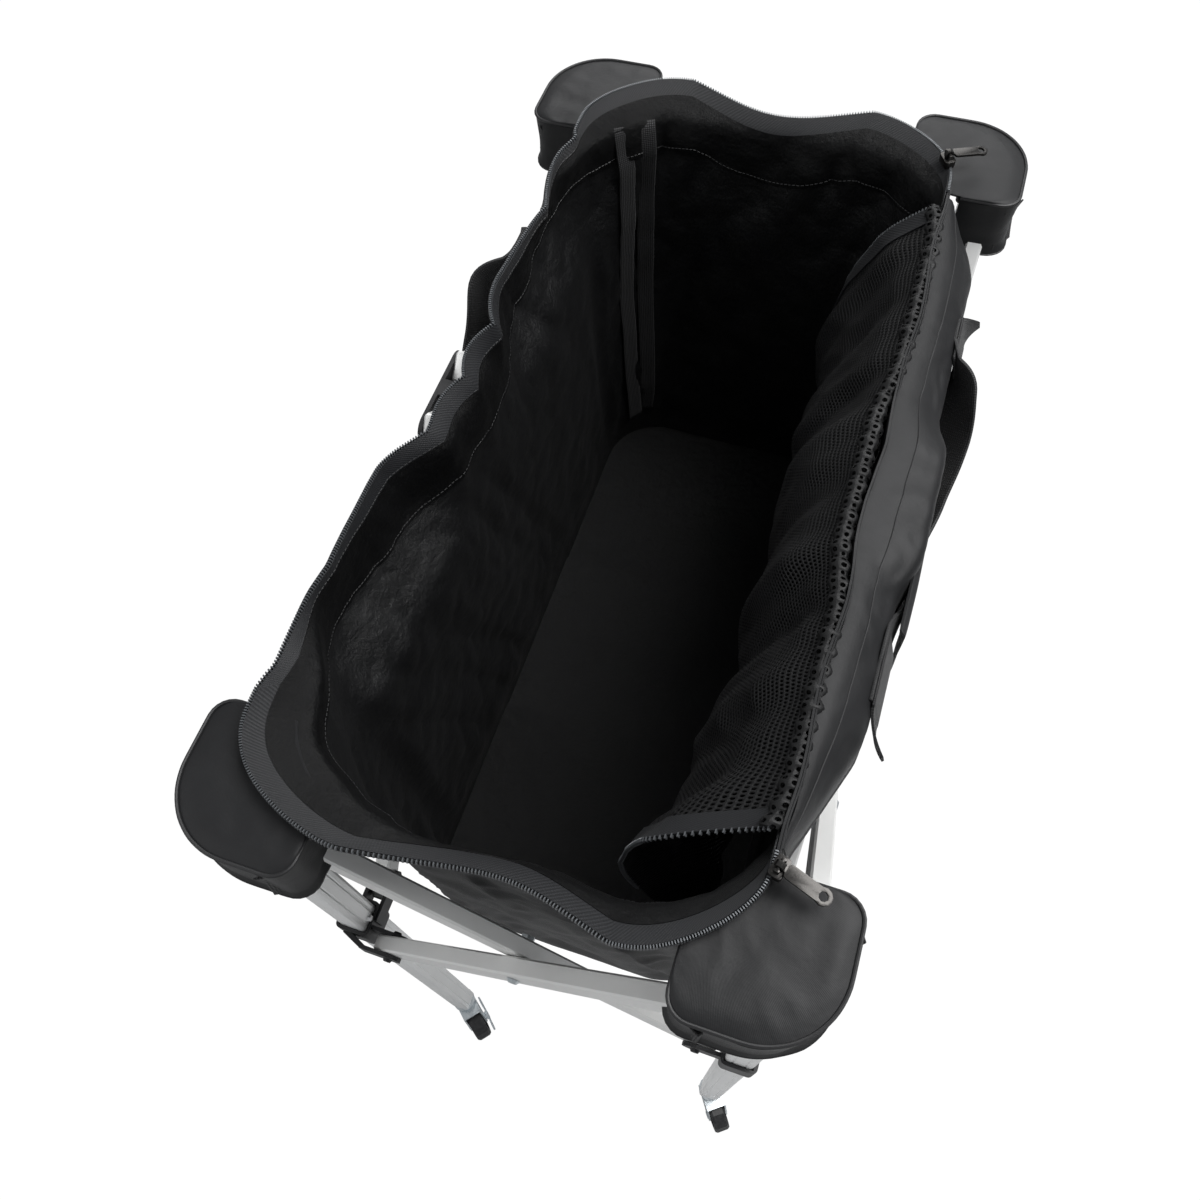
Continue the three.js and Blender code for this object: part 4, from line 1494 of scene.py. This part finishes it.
@dataclass
class NetLid:
    """The net lid, hanging in folds inside the bag from the right rim."""

    LUMPS: ClassVar[Crumple] = Crumple(0.0030, (0.045, 0.06), 2.0, 5.0, 0.4)
    GATHERS: ClassVar[Crumple] = Crumple(0.0016, (1 / 60, 0.5), 0.0, 2.0)
    walls: BagWalls
    finishes: Finishes
    half_length: float = 0.268
    top: float = 0.004
    drop: float = 0.300
    belly: tuple[float, float] = (0.044, 0.056)
    front_reach: float = 0.040
    folds: float = 5.5
    fold_depth: float = 0.0052
    fine_depth: float = 0.0016
    tuck: float = 0.018
    tuck_share: float = 0.12
    off_wall: float = 0.0075
    below_lip: float = 0.985
    cloth: float = 0.0011
    tape_width_share: float = 0.026
    tape_length_share: float = 0.62
    teeth: int = 84
    tooth: tuple[float, float, float] = (0.0014, 0.00048, 0.0014)

    def at(self, a: float, b: float) -> Vector:
        """The place on the net.

        Args:
            a: the share along the rim from front to back.
            b: the share down the net.

        Returns:
            The place in metres.
        """
        form = self.walls.form
        y = mix(-self.half_length, self.half_length, a)
        rim = form.rim_height(False, form.side_share(y))
        z = rim - self.top - b * self.drop * (1 - 0.10 * math.sin(math.pi * a))
        free = smoothstep(0.0, 0.16, b)
        belly = mix(*self.belly, a * a) * math.sin(math.pi * min(1.0, b * 1.1) ** 0.85)
        front = self.front_reach * (1 - a) ** 7 * free * (1 - 0.4 * b)
        turn = 2 * math.pi * (self.folds * a + 0.6 * b + 0.05 * math.sin(a * 19))
        fold = self.fold_depth * (1 + math.sin(turn)) * free
        fine = self.fine_depth * math.sin(turn * 2.7 + 1.0) * smoothstep(0.0, 0.1, b)
        lumps = self.LUMPS.at(y, z) * free
        x = form.right_wall(y, max(form.floor, min(z, self.below_lip))) - self.off_wall
        tucked = self.tuck * max(0.0, self.tuck_share - a) / self.tuck_share * free
        return Vector((x - belly - front - fold - fine - lumps, y - tucked, z))

    def build(self) -> list[Piece]:
        """Builds the net, its gathered edge and the zip's other half at its ends.

        Returns:
            The pieces.
        """
        net = Bench.grid("net_lid", 170, 100, self.at)
        Bench.make_cloth(net, self.finishes.net, self.cloth)
        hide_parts("bag_lid")
        sewn = [self.edge(), *self.end_tape("front", 0.0, 1), *self.end_tape("back", 1.0, -1)]
        self.flat_size()
        for piece in (net, *sewn):
            Folding.carry(piece, "lid", Folding.ALONG)
        return [net, *sewn]

    def flat_size(self) -> tuple[float, float]:
        """Measures the net's flat size.

        Returns:
            Its width and length in metres.
        """
        shares = (0.1, 0.3, 0.5, 0.7, 0.9)
        spots = [k / 60 for k in range(61)]
        widths = [run_length([self.at(spot, b) for spot in spots]) for b in shares]
        heights = [run_length([self.at(a, spot) for spot in spots]) for a in shares]
        return sum(widths) / len(widths), sum(heights) / len(heights)

    def edge(self) -> Piece:
        """Builds the thick gathered edge that is sewn to the rim.

        Returns:
            The edge.
        """

        def place(a: float, b: float) -> Vector:
            """The place along the edge and round it."""
            lift = 0.0062 + 0.0012 * math.sin(a * 250) + self.GATHERS.at(a, b)
            turn = math.pi * (-0.05 + 1.2 * b)
            round_edge = Vector((lift * math.cos(turn) - 0.0025, 0, lift * math.sin(turn) - 0.0035))
            return self.at(a, 0.0) + round_edge

        edge = Bench.grid("net_lid_edge", 260, 12, place)
        return Bench.make_cloth(edge, self.finishes.coarse_net, 0.0012)

    def end_tape(self, name: str, end: float, inward: int) -> list[Piece]:
        """Builds the zip tape and teeth along one end of the net.

        Args:
            name: which end.
            end: the end's share along the rim.
            inward: 1 if the shares grow into the net, -1 if they fall.

        Returns:
            The tape and the teeth.
        """
        reach = self.tape_length_share

        def place(a: float, b: float) -> Vector:
            """The place across the tape and down it."""
            return self.at(end + inward * self.tape_width_share * a, b * reach) + Vector((-0.0017, 0, 0.0004))

        tape = Bench.make_cloth(Bench.grid(f"lid_tape_{name}", 6, 60, place), self.finishes.tape, 0.0012)
        bricks = Bricks()
        wide, long, high = self.tooth
        side = Vector((0, 1, 0))
        for k in range(self.teeth):
            low, middle, top = (self.at(end, (k + j) / self.teeth * reach) for j in (0, 0.5, 1))
            along = (top - low).normalized()
            thick = along.cross(side).normalized() * high
            foot = middle + Vector((-0.0012, -inward * 0.0006, 0))
            bricks.add(foot, side * wide, along * long, ((-thick, 1.0), (thick, 1.0)))
        return [tape, bricks.piece(f"lid_teeth_{name}", self.finishes.teeth)]


# The hoods


@dataclass
class CornerHood:
    """A sewn cap over one leg top: crowned panel, piping, side band and webbing loops."""

    LOOP: ClassVar[tuple[tuple[float, float], ...]] = (
        (0.0015, 0.0016),
        (0.0040, 0.0024),
        (0.0120, 0.0042),
        (0.0220, 0.0060),
        (0.0320, 0.0048),
        (0.0395, 0.0026),
        (0.0420, 0.0018),
    )
    corner: Corner
    form: BagForm
    finishes: Finishes
    half_x: float = 0.180
    half_y: float = 0.354
    outer: float = 0.0318
    inner: float = 0.0640
    round_outer: float = 0.0515
    round_end: float = 0.0150
    top: float = 1.0063
    bottom: float = 0.957
    crown: float = 0.0030
    cloth: float = 0.0016
    spans: int = 64
    seam_steps: int = 60
    dents: Crumple = Crumple(0.0012, (0.03, 0.03), 0.0, 0.0, 0.3)
    puckers: Crumple = Crumple(0.001, (9.0, 1 / 1.5), 0.0, 2.0, 0.5)
    loops_at: tuple[tuple[str, int], ...] = (("side", 13), ("end", 51))
    loop_size: tuple[float, float] = (0.024, 0.0015)

    def place(self, u: float, v: float, z: float) -> Vector:
        """A point of this hood from its leg's axis.

        Args:
            u: towards the cart's middle across, in metres.
            v: towards the cart's middle along, in metres.
            z: the height.

        Returns:
            The place in metres.
        """
        sx, sy = self.corner.value
        return Vector((sx * (self.half_x - u), sy * (self.half_y - v), z))

    def outer_path(self) -> list[tuple[float, float]]:
        """The band's line round the outside, from the bag's long side to its short side.

        Returns:
            Points (u, v) in metres.
        """
        out, reach, r, e = -self.outer, self.inner, self.round_outer, self.round_end
        points: list[tuple[float, float]] = []

        def arc(cx: float, cy: float, radius: float, start: float, stop: float, steps: int) -> None:
            """Adds a rounded corner to the points, from one angle to another in degrees."""
            for k in range(steps + 1):
                angle = math.radians(mix(start, stop, k / steps))
                points.append((cx + radius * math.cos(angle), cy + radius * math.sin(angle)))

        points.append((0.0145, reach))
        arc(out + e, reach - e, e, 90, 180, 6)
        arc(out + r, out + r, r, 180, 270, 16)
        arc(reach - e, out + e, e, 270, 360, 6)
        points.append((reach, 0.0135))
        return self.even(points, self.spans)

    @staticmethod
    def even(points: Sequence[tuple[float, float]], count: int) -> list[tuple[float, float]]:
        """Spaces points evenly along a line.

        Args:
            points: the line.
            count: how many spans it gets.

        Returns:
            The spaced points.
        """
        lengths = [0.0]
        for p, q in zip(points, points[1:]):
            lengths.append(lengths[-1] + math.hypot(q[0] - p[0], q[1] - p[1]))
        out = []
        k = 0
        for i in range(count + 1):
            want = lengths[-1] * i / count
            while k < len(lengths) - 2 and lengths[k + 1] < want:
                k += 1
            span = lengths[k + 1] - lengths[k]
            share = 0 if span == 0 else (want - lengths[k]) / span
            out.append(tuple(mix(p, q, share) for p, q in zip(points[k], points[k + 1])))
        return out

    def bag_path(self) -> list[tuple[float, float]]:
        """The seam where the panel meets the bag, from the long side to the short side.

        Returns:
            Points (u, v) in metres.
        """
        sx, sy = self.corner.value
        end = End.FRONT if sy < 0 else End.BACK
        from_start = sx * sy > 0
        points = []
        for k in range(self.seam_steps + 1):
            a = self.form.arc * k / self.seam_steps
            spot = self.form.end_point(end, a if from_start else 1 - a, self.top - 0.0012)[0]
            points.append((self.half_x - abs(spot.x), self.half_y - abs(spot.y)))
        start, stop = self.outer_path()[0], self.outer_path()[-1]
        inside = [p for p in points if p[1] <= start[1] and p[0] <= stop[0]]
        return self.even([start, *inside, stop], self.spans)

    @staticmethod
    def along(line: Sequence[tuple[float, float]], k: int, reach: int) -> tuple[float, float]:
        """The direction of a line at one of its points.

        Args:
            line: the points (u, v).
            k: which point.
            reach: how many points to each side it is measured over.

        Returns:
            The direction's u and v, of length 1.
        """
        (u0, v0), (u1, v1) = line[max(0, k - reach)], line[min(len(line) - 1, k + reach)]
        size = math.hypot(u1 - u0, v1 - v0)
        return (u1 - u0) / size, (v1 - v0) / size

    def build(self) -> list[Piece]:
        """Builds the hood's pieces.

        Returns:
            The pieces.
        """
        label = self.corner.label
        outside, inside = self.outer_path(), self.bag_path()
        sx, sy = self.corner.value
        seed = 3.0 * sx + 7.0 * sy

        def panel_at(a: float, b: float) -> Vector:
            """The place round the panel and in towards the bag."""
            k = round(a * self.spans)
            u = mix(outside[k][0], inside[k][0], b)
            v = mix(outside[k][1], inside[k][1], b)
            edge = min(1.0, b / 0.22)
            rise = self.crown * math.sin(edge * math.pi / 2)
            dent = self.dents.at(u, v, seed) * min(1, 6 * b)
            return self.place(u, v, self.top - 0.0012 + rise + dent)

        def band_at(a: float, b: float) -> Vector:
            """The place round the band and down it."""
            k = round(a * self.spans)
            u, v = outside[k]
            tu, tv = self.along(outside, k, 1)
            puff = 0.0012 * math.sin(math.pi * b) + self.puckers.at(k, b, seed)
            out = puff - 0.002 * smoothstep(0.85, 1.0, b)
            z = mix(self.top - 0.001, self.bottom + 0.002 * math.sin(k / 7 + seed), b)
            return self.place(u - tv * out, v + tu * out, z)

        panel = Bench.grid(f"hood_panel_{label}", self.spans, 22, panel_at)
        band = Bench.grid(f"hood_band_{label}", self.spans, 16, band_at)
        seam = [self.place(u, v, self.top + 0.0002) for u, v in outside]
        edge = [band_at(k / self.spans, 0.985) for k in range(self.spans + 1)]
        pipe = Bench.tube(f"hood_piping_{label}", seam, 0.0013, 8, self.finishes.piping)
        hem = Bench.tube(f"hood_hem_{label}", edge, 0.0011, 6, self.finishes.piping)
        for piece in (panel, band):
            Bench.make_cloth(piece, self.finishes.outer, self.cloth)
        made = [panel, band, pipe, hem, *self.loops(outside)]
        for piece in made:
            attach(piece, self.corner.body)
        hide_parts(f"hood_{label}")
        return made

    def loops(self, outside: Sequence[tuple[float, float]]) -> list[Piece]:
        """Builds the two webbing loops sewn on the band.

        Args:
            outside: the band's line.

        Returns:
            The loops.
        """
        made = []
        for name, middle in self.loops_at:
            tu, tv = self.along(outside, middle, 6)
            u, v = outside[middle]
            middles = [self.place(u - tv * out, v + tu * out, self.bottom + up) for up, out in self.LOOP]
            sx, sy = self.corner.value
            wide = Vector((-sx * tu, -sy * tv, 0)).normalized()
            label = f"hood_loop_{name}_{self.corner.label}"
            wides = [wide] * len(middles)
            made.append(Bench.band(label, middles, wides, self.loop_size, self.finishes.webbing))
        return made


# The skirt over the right bars


@dataclass
class SideSkirt:
    """The cloth that runs from the right rim out over the bars' upper ends."""

    OUT: ClassVar[float] = 0.1905
    walls: BagWalls
    finishes: Finishes
    half_length: float = 0.278
    saddle_out: float = 0.2000
    saddle_top: float = 0.9935
    cut: float = 0.075
    cloth: float = 0.0014
    rucks: Crumple = Crumple(0.0016, (0.05, 1 / 1.6), 4.0, 6.0, 0.5)
    line: int = 120

    def at(self, a: float, b: float) -> Vector:
        """The place on the skirt.

        Args:
            a: the share along the rim from front to back.
            b: the share from the rim down to the free edge.

        Returns:
            The place in metres.
        """
        form = self.walls.form
        y = mix(-self.half_length, self.half_length, a)
        share = min(1.0, max(0.0, form.side_share(y)))
        rim = form.rim_height(False, share)
        root = self.walls.side_at(Side.RIGHT)(share, 0.985).x + 0.0014
        saddle = 1 - smoothstep(0.040, 0.085, abs(y))
        wide = smoothstep(-0.285, -0.17, y) * (1 - smoothstep(0.225, 0.30, y))
        out = mix(root + 0.004, mix(self.OUT, self.saddle_out, saddle), wide)
        shoulder = mix(0.984, self.saddle_top, max(saddle, 1 - wide))
        low = mix(0.948, 0.968, max(saddle, 1 - wide))
        knots = (
            (root - 0.0005, rim - 0.0035),
            (mix(root, out, 0.30), rim - 0.0065),
            (mix(root, out, 0.72), mix(rim - 0.012, shoulder, 0.5) + 0.002),
            (out, shoulder - 0.004),
            (out + 0.0006, low),
        )
        spot = b * (len(knots) - 1)
        k = min(len(knots) - 2, int(spot))
        around = (knots[max(0, k - 1)], knots[k], knots[k + 1], knots[min(len(knots) - 1, k + 2)])
        x, z = (curve(*line, spot - k) for line in zip(*around))
        ruck = abs(self.rucks.at(y, b) * smoothstep(0.1, 0.5, b) * wide)
        return Vector((x + ruck * 0.6, y, z + ruck))

    def build(self) -> list[Piece]:
        """Builds the skirt and its seam.

        Returns:
            The pieces.
        """
        skirt = Bench.grid("side_skirt", 140, 26, lambda a, b: self.at(1 - a, b))
        shares = [k / self.line for k in range(self.line + 1)]
        sewn = [self.at(a, 0.36) + Vector((0, 0, 0.0008)) for a in shares]
        free = [self.at(a, 0.985) + Vector((0.0008, 0, 0)) for a in shares]
        seam = Bench.tube("side_skirt_seam", sewn, 0.0007, 6, self.finishes.thread)
        hem = Bench.tube("side_skirt_hem", free, 0.0011, 6, self.finishes.piping)
        Bench.make_cloth(skirt, self.finishes.outer, self.cloth)
        made = [skirt, seam, hem]
        for piece in made:
            Folding.of_side(piece, Side.RIGHT)
        return made


# Handles


@dataclass
class WebbingHandle:
    """One webbing handle, sewn lengthwise at both ends, with a hanging loop between them."""

    side: Side
    walls: BagWalls
    finishes: Finishes
    width: float = 0.036
    thickness: float = 0.0022
    second: float = 0.0018
    height: float = 0.972
    low: float = 0.893
    sewn_front: tuple[float, float] = (-0.160, -0.108)
    sewn_back: tuple[float, float] = (0.138, 0.178)
    left_reach: float = 0.1995
    span_steps: int = 10
    patch_spans: int = 8

    def foot(self, y: float) -> float:
        """How far out the cloth is that the strap is sewn to, at a place along it."""
        if self.side is Side.RIGHT:
            return SideSkirt.OUT + 0.0022
        form = self.walls.form
        lean = form.side_lean(Side.LEFT, y, self.height)
        return form.half(self.height)[0] + lean + form.swell_at(y, self.height, -1.0) + 0.0040

    def stations(self) -> list[tuple[Vector, float]]:
        """The strap's knots: places and how far its lower edge leans inwards.

        Returns:
            Pairs of a place and a lean.
        """
        (y0, y1), (y2, y3) = self.sewn_front, self.sewn_back
        drop = self.height - self.low
        rows = [
            (y0, self.foot(y0), self.height, -0.25),
            (mix(y0, y1, 0.5), self.foot(y1), self.height, -0.25),
            (y1, self.foot(y1), self.height, -0.2),
            (-0.080, 0.1982, self.height - 0.34 * drop, 0.0),
            (-0.040, 0.1988, self.height - 0.84 * drop, 0.05),
            (0.010, 0.2015, self.low, 0.3),
            (0.060, 0.2055, self.height - 0.88 * drop, 0.6),
            (0.100, 0.2075, self.height - 0.55 * drop, 0.75),
            (0.128, 0.2035, self.height - 0.12 * drop, 0.4),
            (y2 + 0.006, self.foot(y2) + 0.002, self.height, -0.1),
            (mix(y2, y3, 0.5), self.foot(y3), self.height, -0.25),
            (y3, self.foot(y3), self.height, -0.25),
        ]
        if self.side is Side.LEFT:
            rows = [
                (y, min(x, self.left_reach) if z < self.height else x, z, lean * 0.3)
                for y, x, z, lean in rows
            ]
        return [(Vector((self.side.value * x, y, z)), lean) for y, x, z, lean in rows]

    def path(self) -> tuple[list[Vector], list[Vector]]:
        """A smooth line through the knots.

        Returns:
            The line's points and the direction across the webbing at each.
        """
        knots = self.stations()
        middles: list[Vector] = []
        leans: list[float] = []
        last = len(knots) - 1
        for k in range(last):
            p0, p1 = knots[max(0, k - 1)][0], knots[k][0]
            p2, p3 = knots[k + 1][0], knots[min(last, k + 2)][0]
            for j in range(self.span_steps + (1 if k == last - 1 else 0)):
                t = j / self.span_steps
                middles.append(curve(p0, p1, p2, p3, t))
                leans.append(mix(knots[k][1], knots[k + 1][1], smoothstep(0, 1, t)))
        wides = [Vector((self.side.value * lean, 0, 1)).normalized() for lean in leans]
        return middles, wides

    def build(self) -> list[Piece]:
        """Builds the handle and its sewn patches.

        Returns:
            The pieces.
        """
        label = self.side.name.lower()
        middles, wides = self.path()
        size = (self.width, self.thickness)
        strap = Bench.band(f"strap_{label}", middles, wides, size, self.finishes.webbing, 8)
        made = [strap]
        made += self.anchor(f"{label}_front", self.sewn_front)
        made += self.anchor(f"{label}_back", (self.sewn_back[1], self.sewn_back[0]))
        flat, wall = (self.width, run_length(middles)), f"bag_wall_{label}"
        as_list(made[1:])
        for piece in made:
            Folding.of_side(piece, self.side)
        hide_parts(f"handle_{label}")
        return made

    def anchor(self, name: str, ends: tuple[float, float]) -> list[Piece]:
        """Builds the second layer sewn over the end of the strap, with its loose tip.

        Args:
            name: which end.
            ends: the sewn part's Y from its outer end to its inner one.

        Returns:
            The layer and the tip.
        """
        s = self.side.value
        outer, inner = ends
        away = 1 if outer > inner else -1
        count = self.patch_spans
        spots = [mix(outer + away * 0.003, inner, k / count) for k in range(count + 1)]
        lift = self.thickness * 0.95
        middles = [Vector((s * (self.foot(y) + lift), y, self.height - 0.0004)) for y in spots]
        wides = [Vector((-0.25 * s, 0, 1)).normalized()] * len(spots)
        size = (self.width * 0.98, self.second)
        patch = Bench.band(f"strap_patch_{name}", middles, wides, size, self.finishes.webbing)

        def tail_at(a: float, b: float) -> Vector:
            """The place across the tip and out along it."""
            half = self.width * 0.42 * (1 - 0.8 * b**1.4)
            x = self.foot(outer) + 0.002 + 0.012 * b * b
            y = outer + away * (0.002 + 0.024 * b)
            across = (2 * a - 1) * half
            return Vector((s * (x - 0.25 * across), y, self.height - 0.011 * b + across))

        tail = Bench.grid(f"strap_tail_{name}", 8, 10, tail_at)
        return [patch, Bench.make_cloth(tail, self.finishes.webbing, self.second, 50)]


# The side pocket and the tapes inside


@dataclass
class SewnExtras:
    """The flap of a side pocket on the right wall and two webbing strips in the back corner."""

    walls: BagWalls
    finishes: Finishes
    flap_y: tuple[float, float] = (-0.102, -0.020)
    flap_z: tuple[float, float] = (0.902, 0.984)
    flap_out: float = 0.2015
    strip_shares: tuple[float, float] = (0.790, 0.850)
    strip_size: tuple[float, float] = (0.017, 0.0014)
    strip_ends: tuple[float, float] = (0.1, 0.965)
    strip_steps: int = 60
    cloth: float = 0.0016
    creases: Crumple = Crumple(0.0012, (0.03, 0.05), 1.0, 8.0, 0.5)

    def flap(self) -> Piece:
        """Builds the pocket's flap, which stands off the wall at its free edge.

        Returns:
            The flap.
        """
        low, high = self.flap_z

        def at(a: float, b: float) -> Vector:
            """The place along and up the flap."""
            y = mix(*self.flap_y, a)
            z = mix(low, high, b) - 0.004 * math.sin(math.pi * a) * (1 - b)
            off = 0.0045 * (1 - b) ** 0.7 * math.sin(math.pi * a) ** 0.6
            crease = self.creases.at(y, z) * (1 - b)
            return Vector((self.flap_out + off + crease - 0.004 * smoothstep(0.9, 1.0, b), y, z))

        flap = Bench.grid("pocket_flap", 40, 44, at)
        return Folding.of_side(Bench.make_cloth(flap, self.finishes.outer, self.cloth), Side.RIGHT)

    def strip(self, name: str, share: float) -> Piece:
        """Builds one webbing strip sewn upright on the inside of the back wall.

        Args:
            name: which strip.
            share: its place along the wall.

        Returns:
            The strip.
        """
        at = self.walls.end_at(End.BACK, 0.0032)
        steps = self.strip_steps
        middles = [at(share, mix(*self.strip_ends, k / steps)) for k in range(steps + 1)]
        wides = [(at(share + 0.01, 0.5) - at(share - 0.01, 0.5)).normalized()] * (steps + 1)
        strip = Bench.band(f"inner_strip_{name}", middles, wides, self.strip_size, self.finishes.webbing)
        flat = (self.strip_size[0], run_length(middles))
        return Folding.of_end(strip, End.BACK)

    def build(self) -> list[Piece]:
        """Builds the flap and both strips.

        Returns:
            The pieces.
        """
        flap = self.flap()
        strips = [self.strip(name, share) for name, share in zip(("outer", "inner"), self.strip_shares)]
        return [flap, *strips]


# The zip's sliders


@dataclass
class ZipFittings:
    """The two zip sliders and their pulls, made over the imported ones."""

    NAMES: ClassVar[tuple[str, ...]] = (
        "zip_slider_front",
        "zip_slider_back",
        "zip_pull_front",
        "zip_pull_back",
    )
    finishes: Finishes
    rounding: float = 0.0005

    def build(self) -> list[Piece]:
        """Makes the four fittings.

        Returns:
            The pieces.
        """
        return [self.fitting(bpy.data.objects[name]) for name in self.NAMES]

    def fitting(self, source: Piece) -> Piece:
        """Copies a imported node, rounds its edges and lets the copy stand for it.

        Args:
            source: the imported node.

        Returns:
            The new piece.
        """
        piece = bpy.data.objects.new(f"{source.name}_made", source.data.copy())
        bpy.context.scene.collection.objects.link(piece)
        piece.data.materials.clear()
        Bench.only(piece)
        bpy.ops.object.mode_set(mode="EDIT")
        bpy.ops.mesh.select_all(action="SELECT")
        bpy.ops.mesh.remove_doubles(threshold=1e-6)
        bpy.ops.mesh.tris_convert_to_quads(face_threshold=0.02, shape_threshold=0.02)
        bpy.ops.object.mode_set(mode="OBJECT")
        Bench.shade(Bench.round_off(piece, self.rounding), 35)
        piece.data.materials.append(self.finishes.gunmetal)
        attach(piece, source["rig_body"])
        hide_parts(source.name)
        return piece


# The frame's metal and moulded parts


@dataclass
class Hardware:
    """The metal and moulded parts of the frame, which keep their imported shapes."""

    finishes: Finishes
    nodes: dict[str, Piece]

    def finish_for(self, name: str) -> Material | None:
        """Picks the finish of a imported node.

        Args:
            name: the node's name.

        Returns:
            Its material, or None if a cloth piece stands for it.
        """
        kinds = (
            ("leg_", self.finishes.leg_tube),
            ("bar_", self.finishes.bar_tube),
            ("bracket", self.finishes.plastic),
            ("caster_wheel", self.finishes.rubber),
            ("caster_", self.finishes.zinc),
            ("brake_", self.finishes.zinc),
            ("cross_bolt", self.finishes.zinc),
        )
        return next((finish for kind, finish in kinds if kind in name), None)

    def dress(self) -> int:
        """Gives every hard node its finish.

        Returns:
            How many nodes were dressed.
        """
        count = 0
        for name, node in self.nodes.items():
            finish = self.finish_for(name)
            if finish is None:
                continue
            node.data.materials.clear()
            node.data.materials.append(finish)
            count += 1
        return count


# The studio


@dataclass
class Studio:
    """Pale floor, soft lights and the camera."""

    LAMPS: ClassVar = (
        ("key", (1.1, 0.5, 2.9), 0.8, 1.5, 80),
        ("fill", (-1.8, -1.4, 2.3), 0.7, 1.8, 16),
        ("rear", (-0.3, 2.4, 2.5), 0.8, 1.6, 34),
    )
    eye: tuple[float, float, float] = (0.13345, -0.45108, 1.62130)
    azimuth: float = -0.4136
    depression: float = 1.0809
    roll: float = -0.1005
    focal_share: float = 1043.0 / 1200.0
    sensor: float = 36.0
    floor_size: float = 30.0
    floor_glow: float = 1.05
    floor_glow_share: float = 0.95
    room_light: float = 0.36

    def camera(self) -> None:
        """Sets the camera at the photograph's viewpoint."""
        data = bpy.data.cameras.new("camera")
        data.sensor_width = self.sensor
        data.lens = self.focal_share * self.sensor
        data.clip_start = 0.01
        camera = bpy.data.objects.new("camera", data)
        bpy.context.scene.collection.objects.link(camera)
        flat = math.cos(self.depression)
        ahead = Vector(
            (math.sin(self.azimuth) * flat, math.cos(self.azimuth) * flat, -math.sin(self.depression))
        )
        right = ahead.cross(Vector((0, 0, 1))).normalized()
        above = right.cross(ahead)
        c, s = math.cos(self.roll), math.sin(self.roll)
        turned_right, turned_up = c * right + s * above, -s * right + c * above
        turn = Matrix((turned_right, turned_up, -ahead)).transposed().to_4x4()
        camera.matrix_world = Matrix.Translation(self.eye) @ turn
        bpy.context.scene.camera = camera

    def floor(self) -> None:
        """Lays the pale floor."""
        bpy.ops.mesh.primitive_plane_add(size=self.floor_size)
        floor = bpy.context.active_object
        floor.name = "studio_floor"
        recipe = Recipe("pale_floor")
        recipe.set(base_color=(0.5, 0.5, 0.5, 1), roughness=0.9, specular_ior_level=0.1)
        glow = recipe.add("Emission")
        glow.inputs["Color"].default_value = (1, 1, 1, 1)
        glow.inputs["Strength"].default_value = self.floor_glow
        rays = recipe.add("LightPath")
        blend = recipe.add("MixShader")
        share = recipe.math("MULTIPLY", rays.outputs["Is Camera Ray"], self.floor_glow_share)
        recipe.link(share, blend.inputs["Fac"])
        recipe.link(recipe.shader.outputs[0], blend.inputs[1])
        recipe.link(glow.outputs[0], blend.inputs[2])
        recipe.link(blend.outputs[0], recipe.tree.nodes["Material Output"].inputs["Surface"])
        floor.data.materials.append(recipe.material)

    def world(self) -> None:
        """Sets the room's soft light, white to the camera."""
        world = bpy.data.worlds.new("studio")
        bpy.context.scene.world = world
        world.use_nodes = True
        tree = world.node_tree
        room = tree.nodes["Background"]
        room.inputs["Color"].default_value = (0.95, 0.97, 1.0, 1)
        room.inputs["Strength"].default_value = self.room_light
        white = tree.nodes.new("ShaderNodeBackground")
        white.inputs["Color"].default_value = (1, 1, 1, 1)
        rays = tree.nodes.new("ShaderNodeLightPath")
        blend = tree.nodes.new("ShaderNodeMixShader")
        tree.links.new(rays.outputs["Is Camera Ray"], blend.inputs["Fac"])
        tree.links.new(room.outputs[0], blend.inputs[1])
        tree.links.new(white.outputs[0], blend.inputs[2])
        tree.links.new(blend.outputs[0], tree.nodes["World Output"].inputs["Surface"])

    def lamp(self, name: str, place: Sequence[float], aim: float, size: float, watts: float) -> None:
        """Hangs a soft square light.

        Args:
            name: the light's name.
            place: where it hangs.
            aim: the height over the cart's middle that it points at.
            size: its side in metres.
            watts: its power.
        """
        data = bpy.data.lights.new(name, "AREA")
        data.shape = "SQUARE"
        data.size = size
        data.energy = watts
        light = bpy.data.objects.new(name, data)
        bpy.context.scene.collection.objects.link(light)
        light.location = place
        way = Vector((0, 0, aim)) - Vector(place)
        light.rotation_euler = way.to_track_quat("-Z", "Y").to_euler()

    def build(self) -> None:
        """Builds the whole studio."""
        self.camera()
        self.floor()
        self.world()
        for lamp in self.LAMPS:
            self.lamp(*lamp)
        bpy.context.scene.view_settings.view_transform = "Standard"


def main() -> None:
    """Builds the cart's looks in order."""
    logging.basicConfig(level=logging.INFO, format="%(message)s")
    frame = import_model()
    finishes = Finishes()
    LOG.info("dressed %d hard nodes", Hardware(finishes, frame["nodes"]).dress())
    walls = BagWalls(BagForm(), finishes)
    pieces = walls.build()
    pieces += RimTrim(walls, finishes).build()
    pieces += NetLid(walls, finishes).build()
    for corner in Corner:
        pieces += CornerHood(corner, walls.form, finishes).build()
    pieces += SideSkirt(walls, finishes).build()
    for side in Side:
        pieces += WebbingHandle(side, walls, finishes).build()
    pieces += SewnExtras(walls, finishes).build()
    pieces += ZipFittings(finishes).build()
    for piece in pieces:
        LOG.info("made %s, %d faces", piece.name, len(piece.data.polygons))
    Studio().build()


if __name__ == "__main__":
    main()
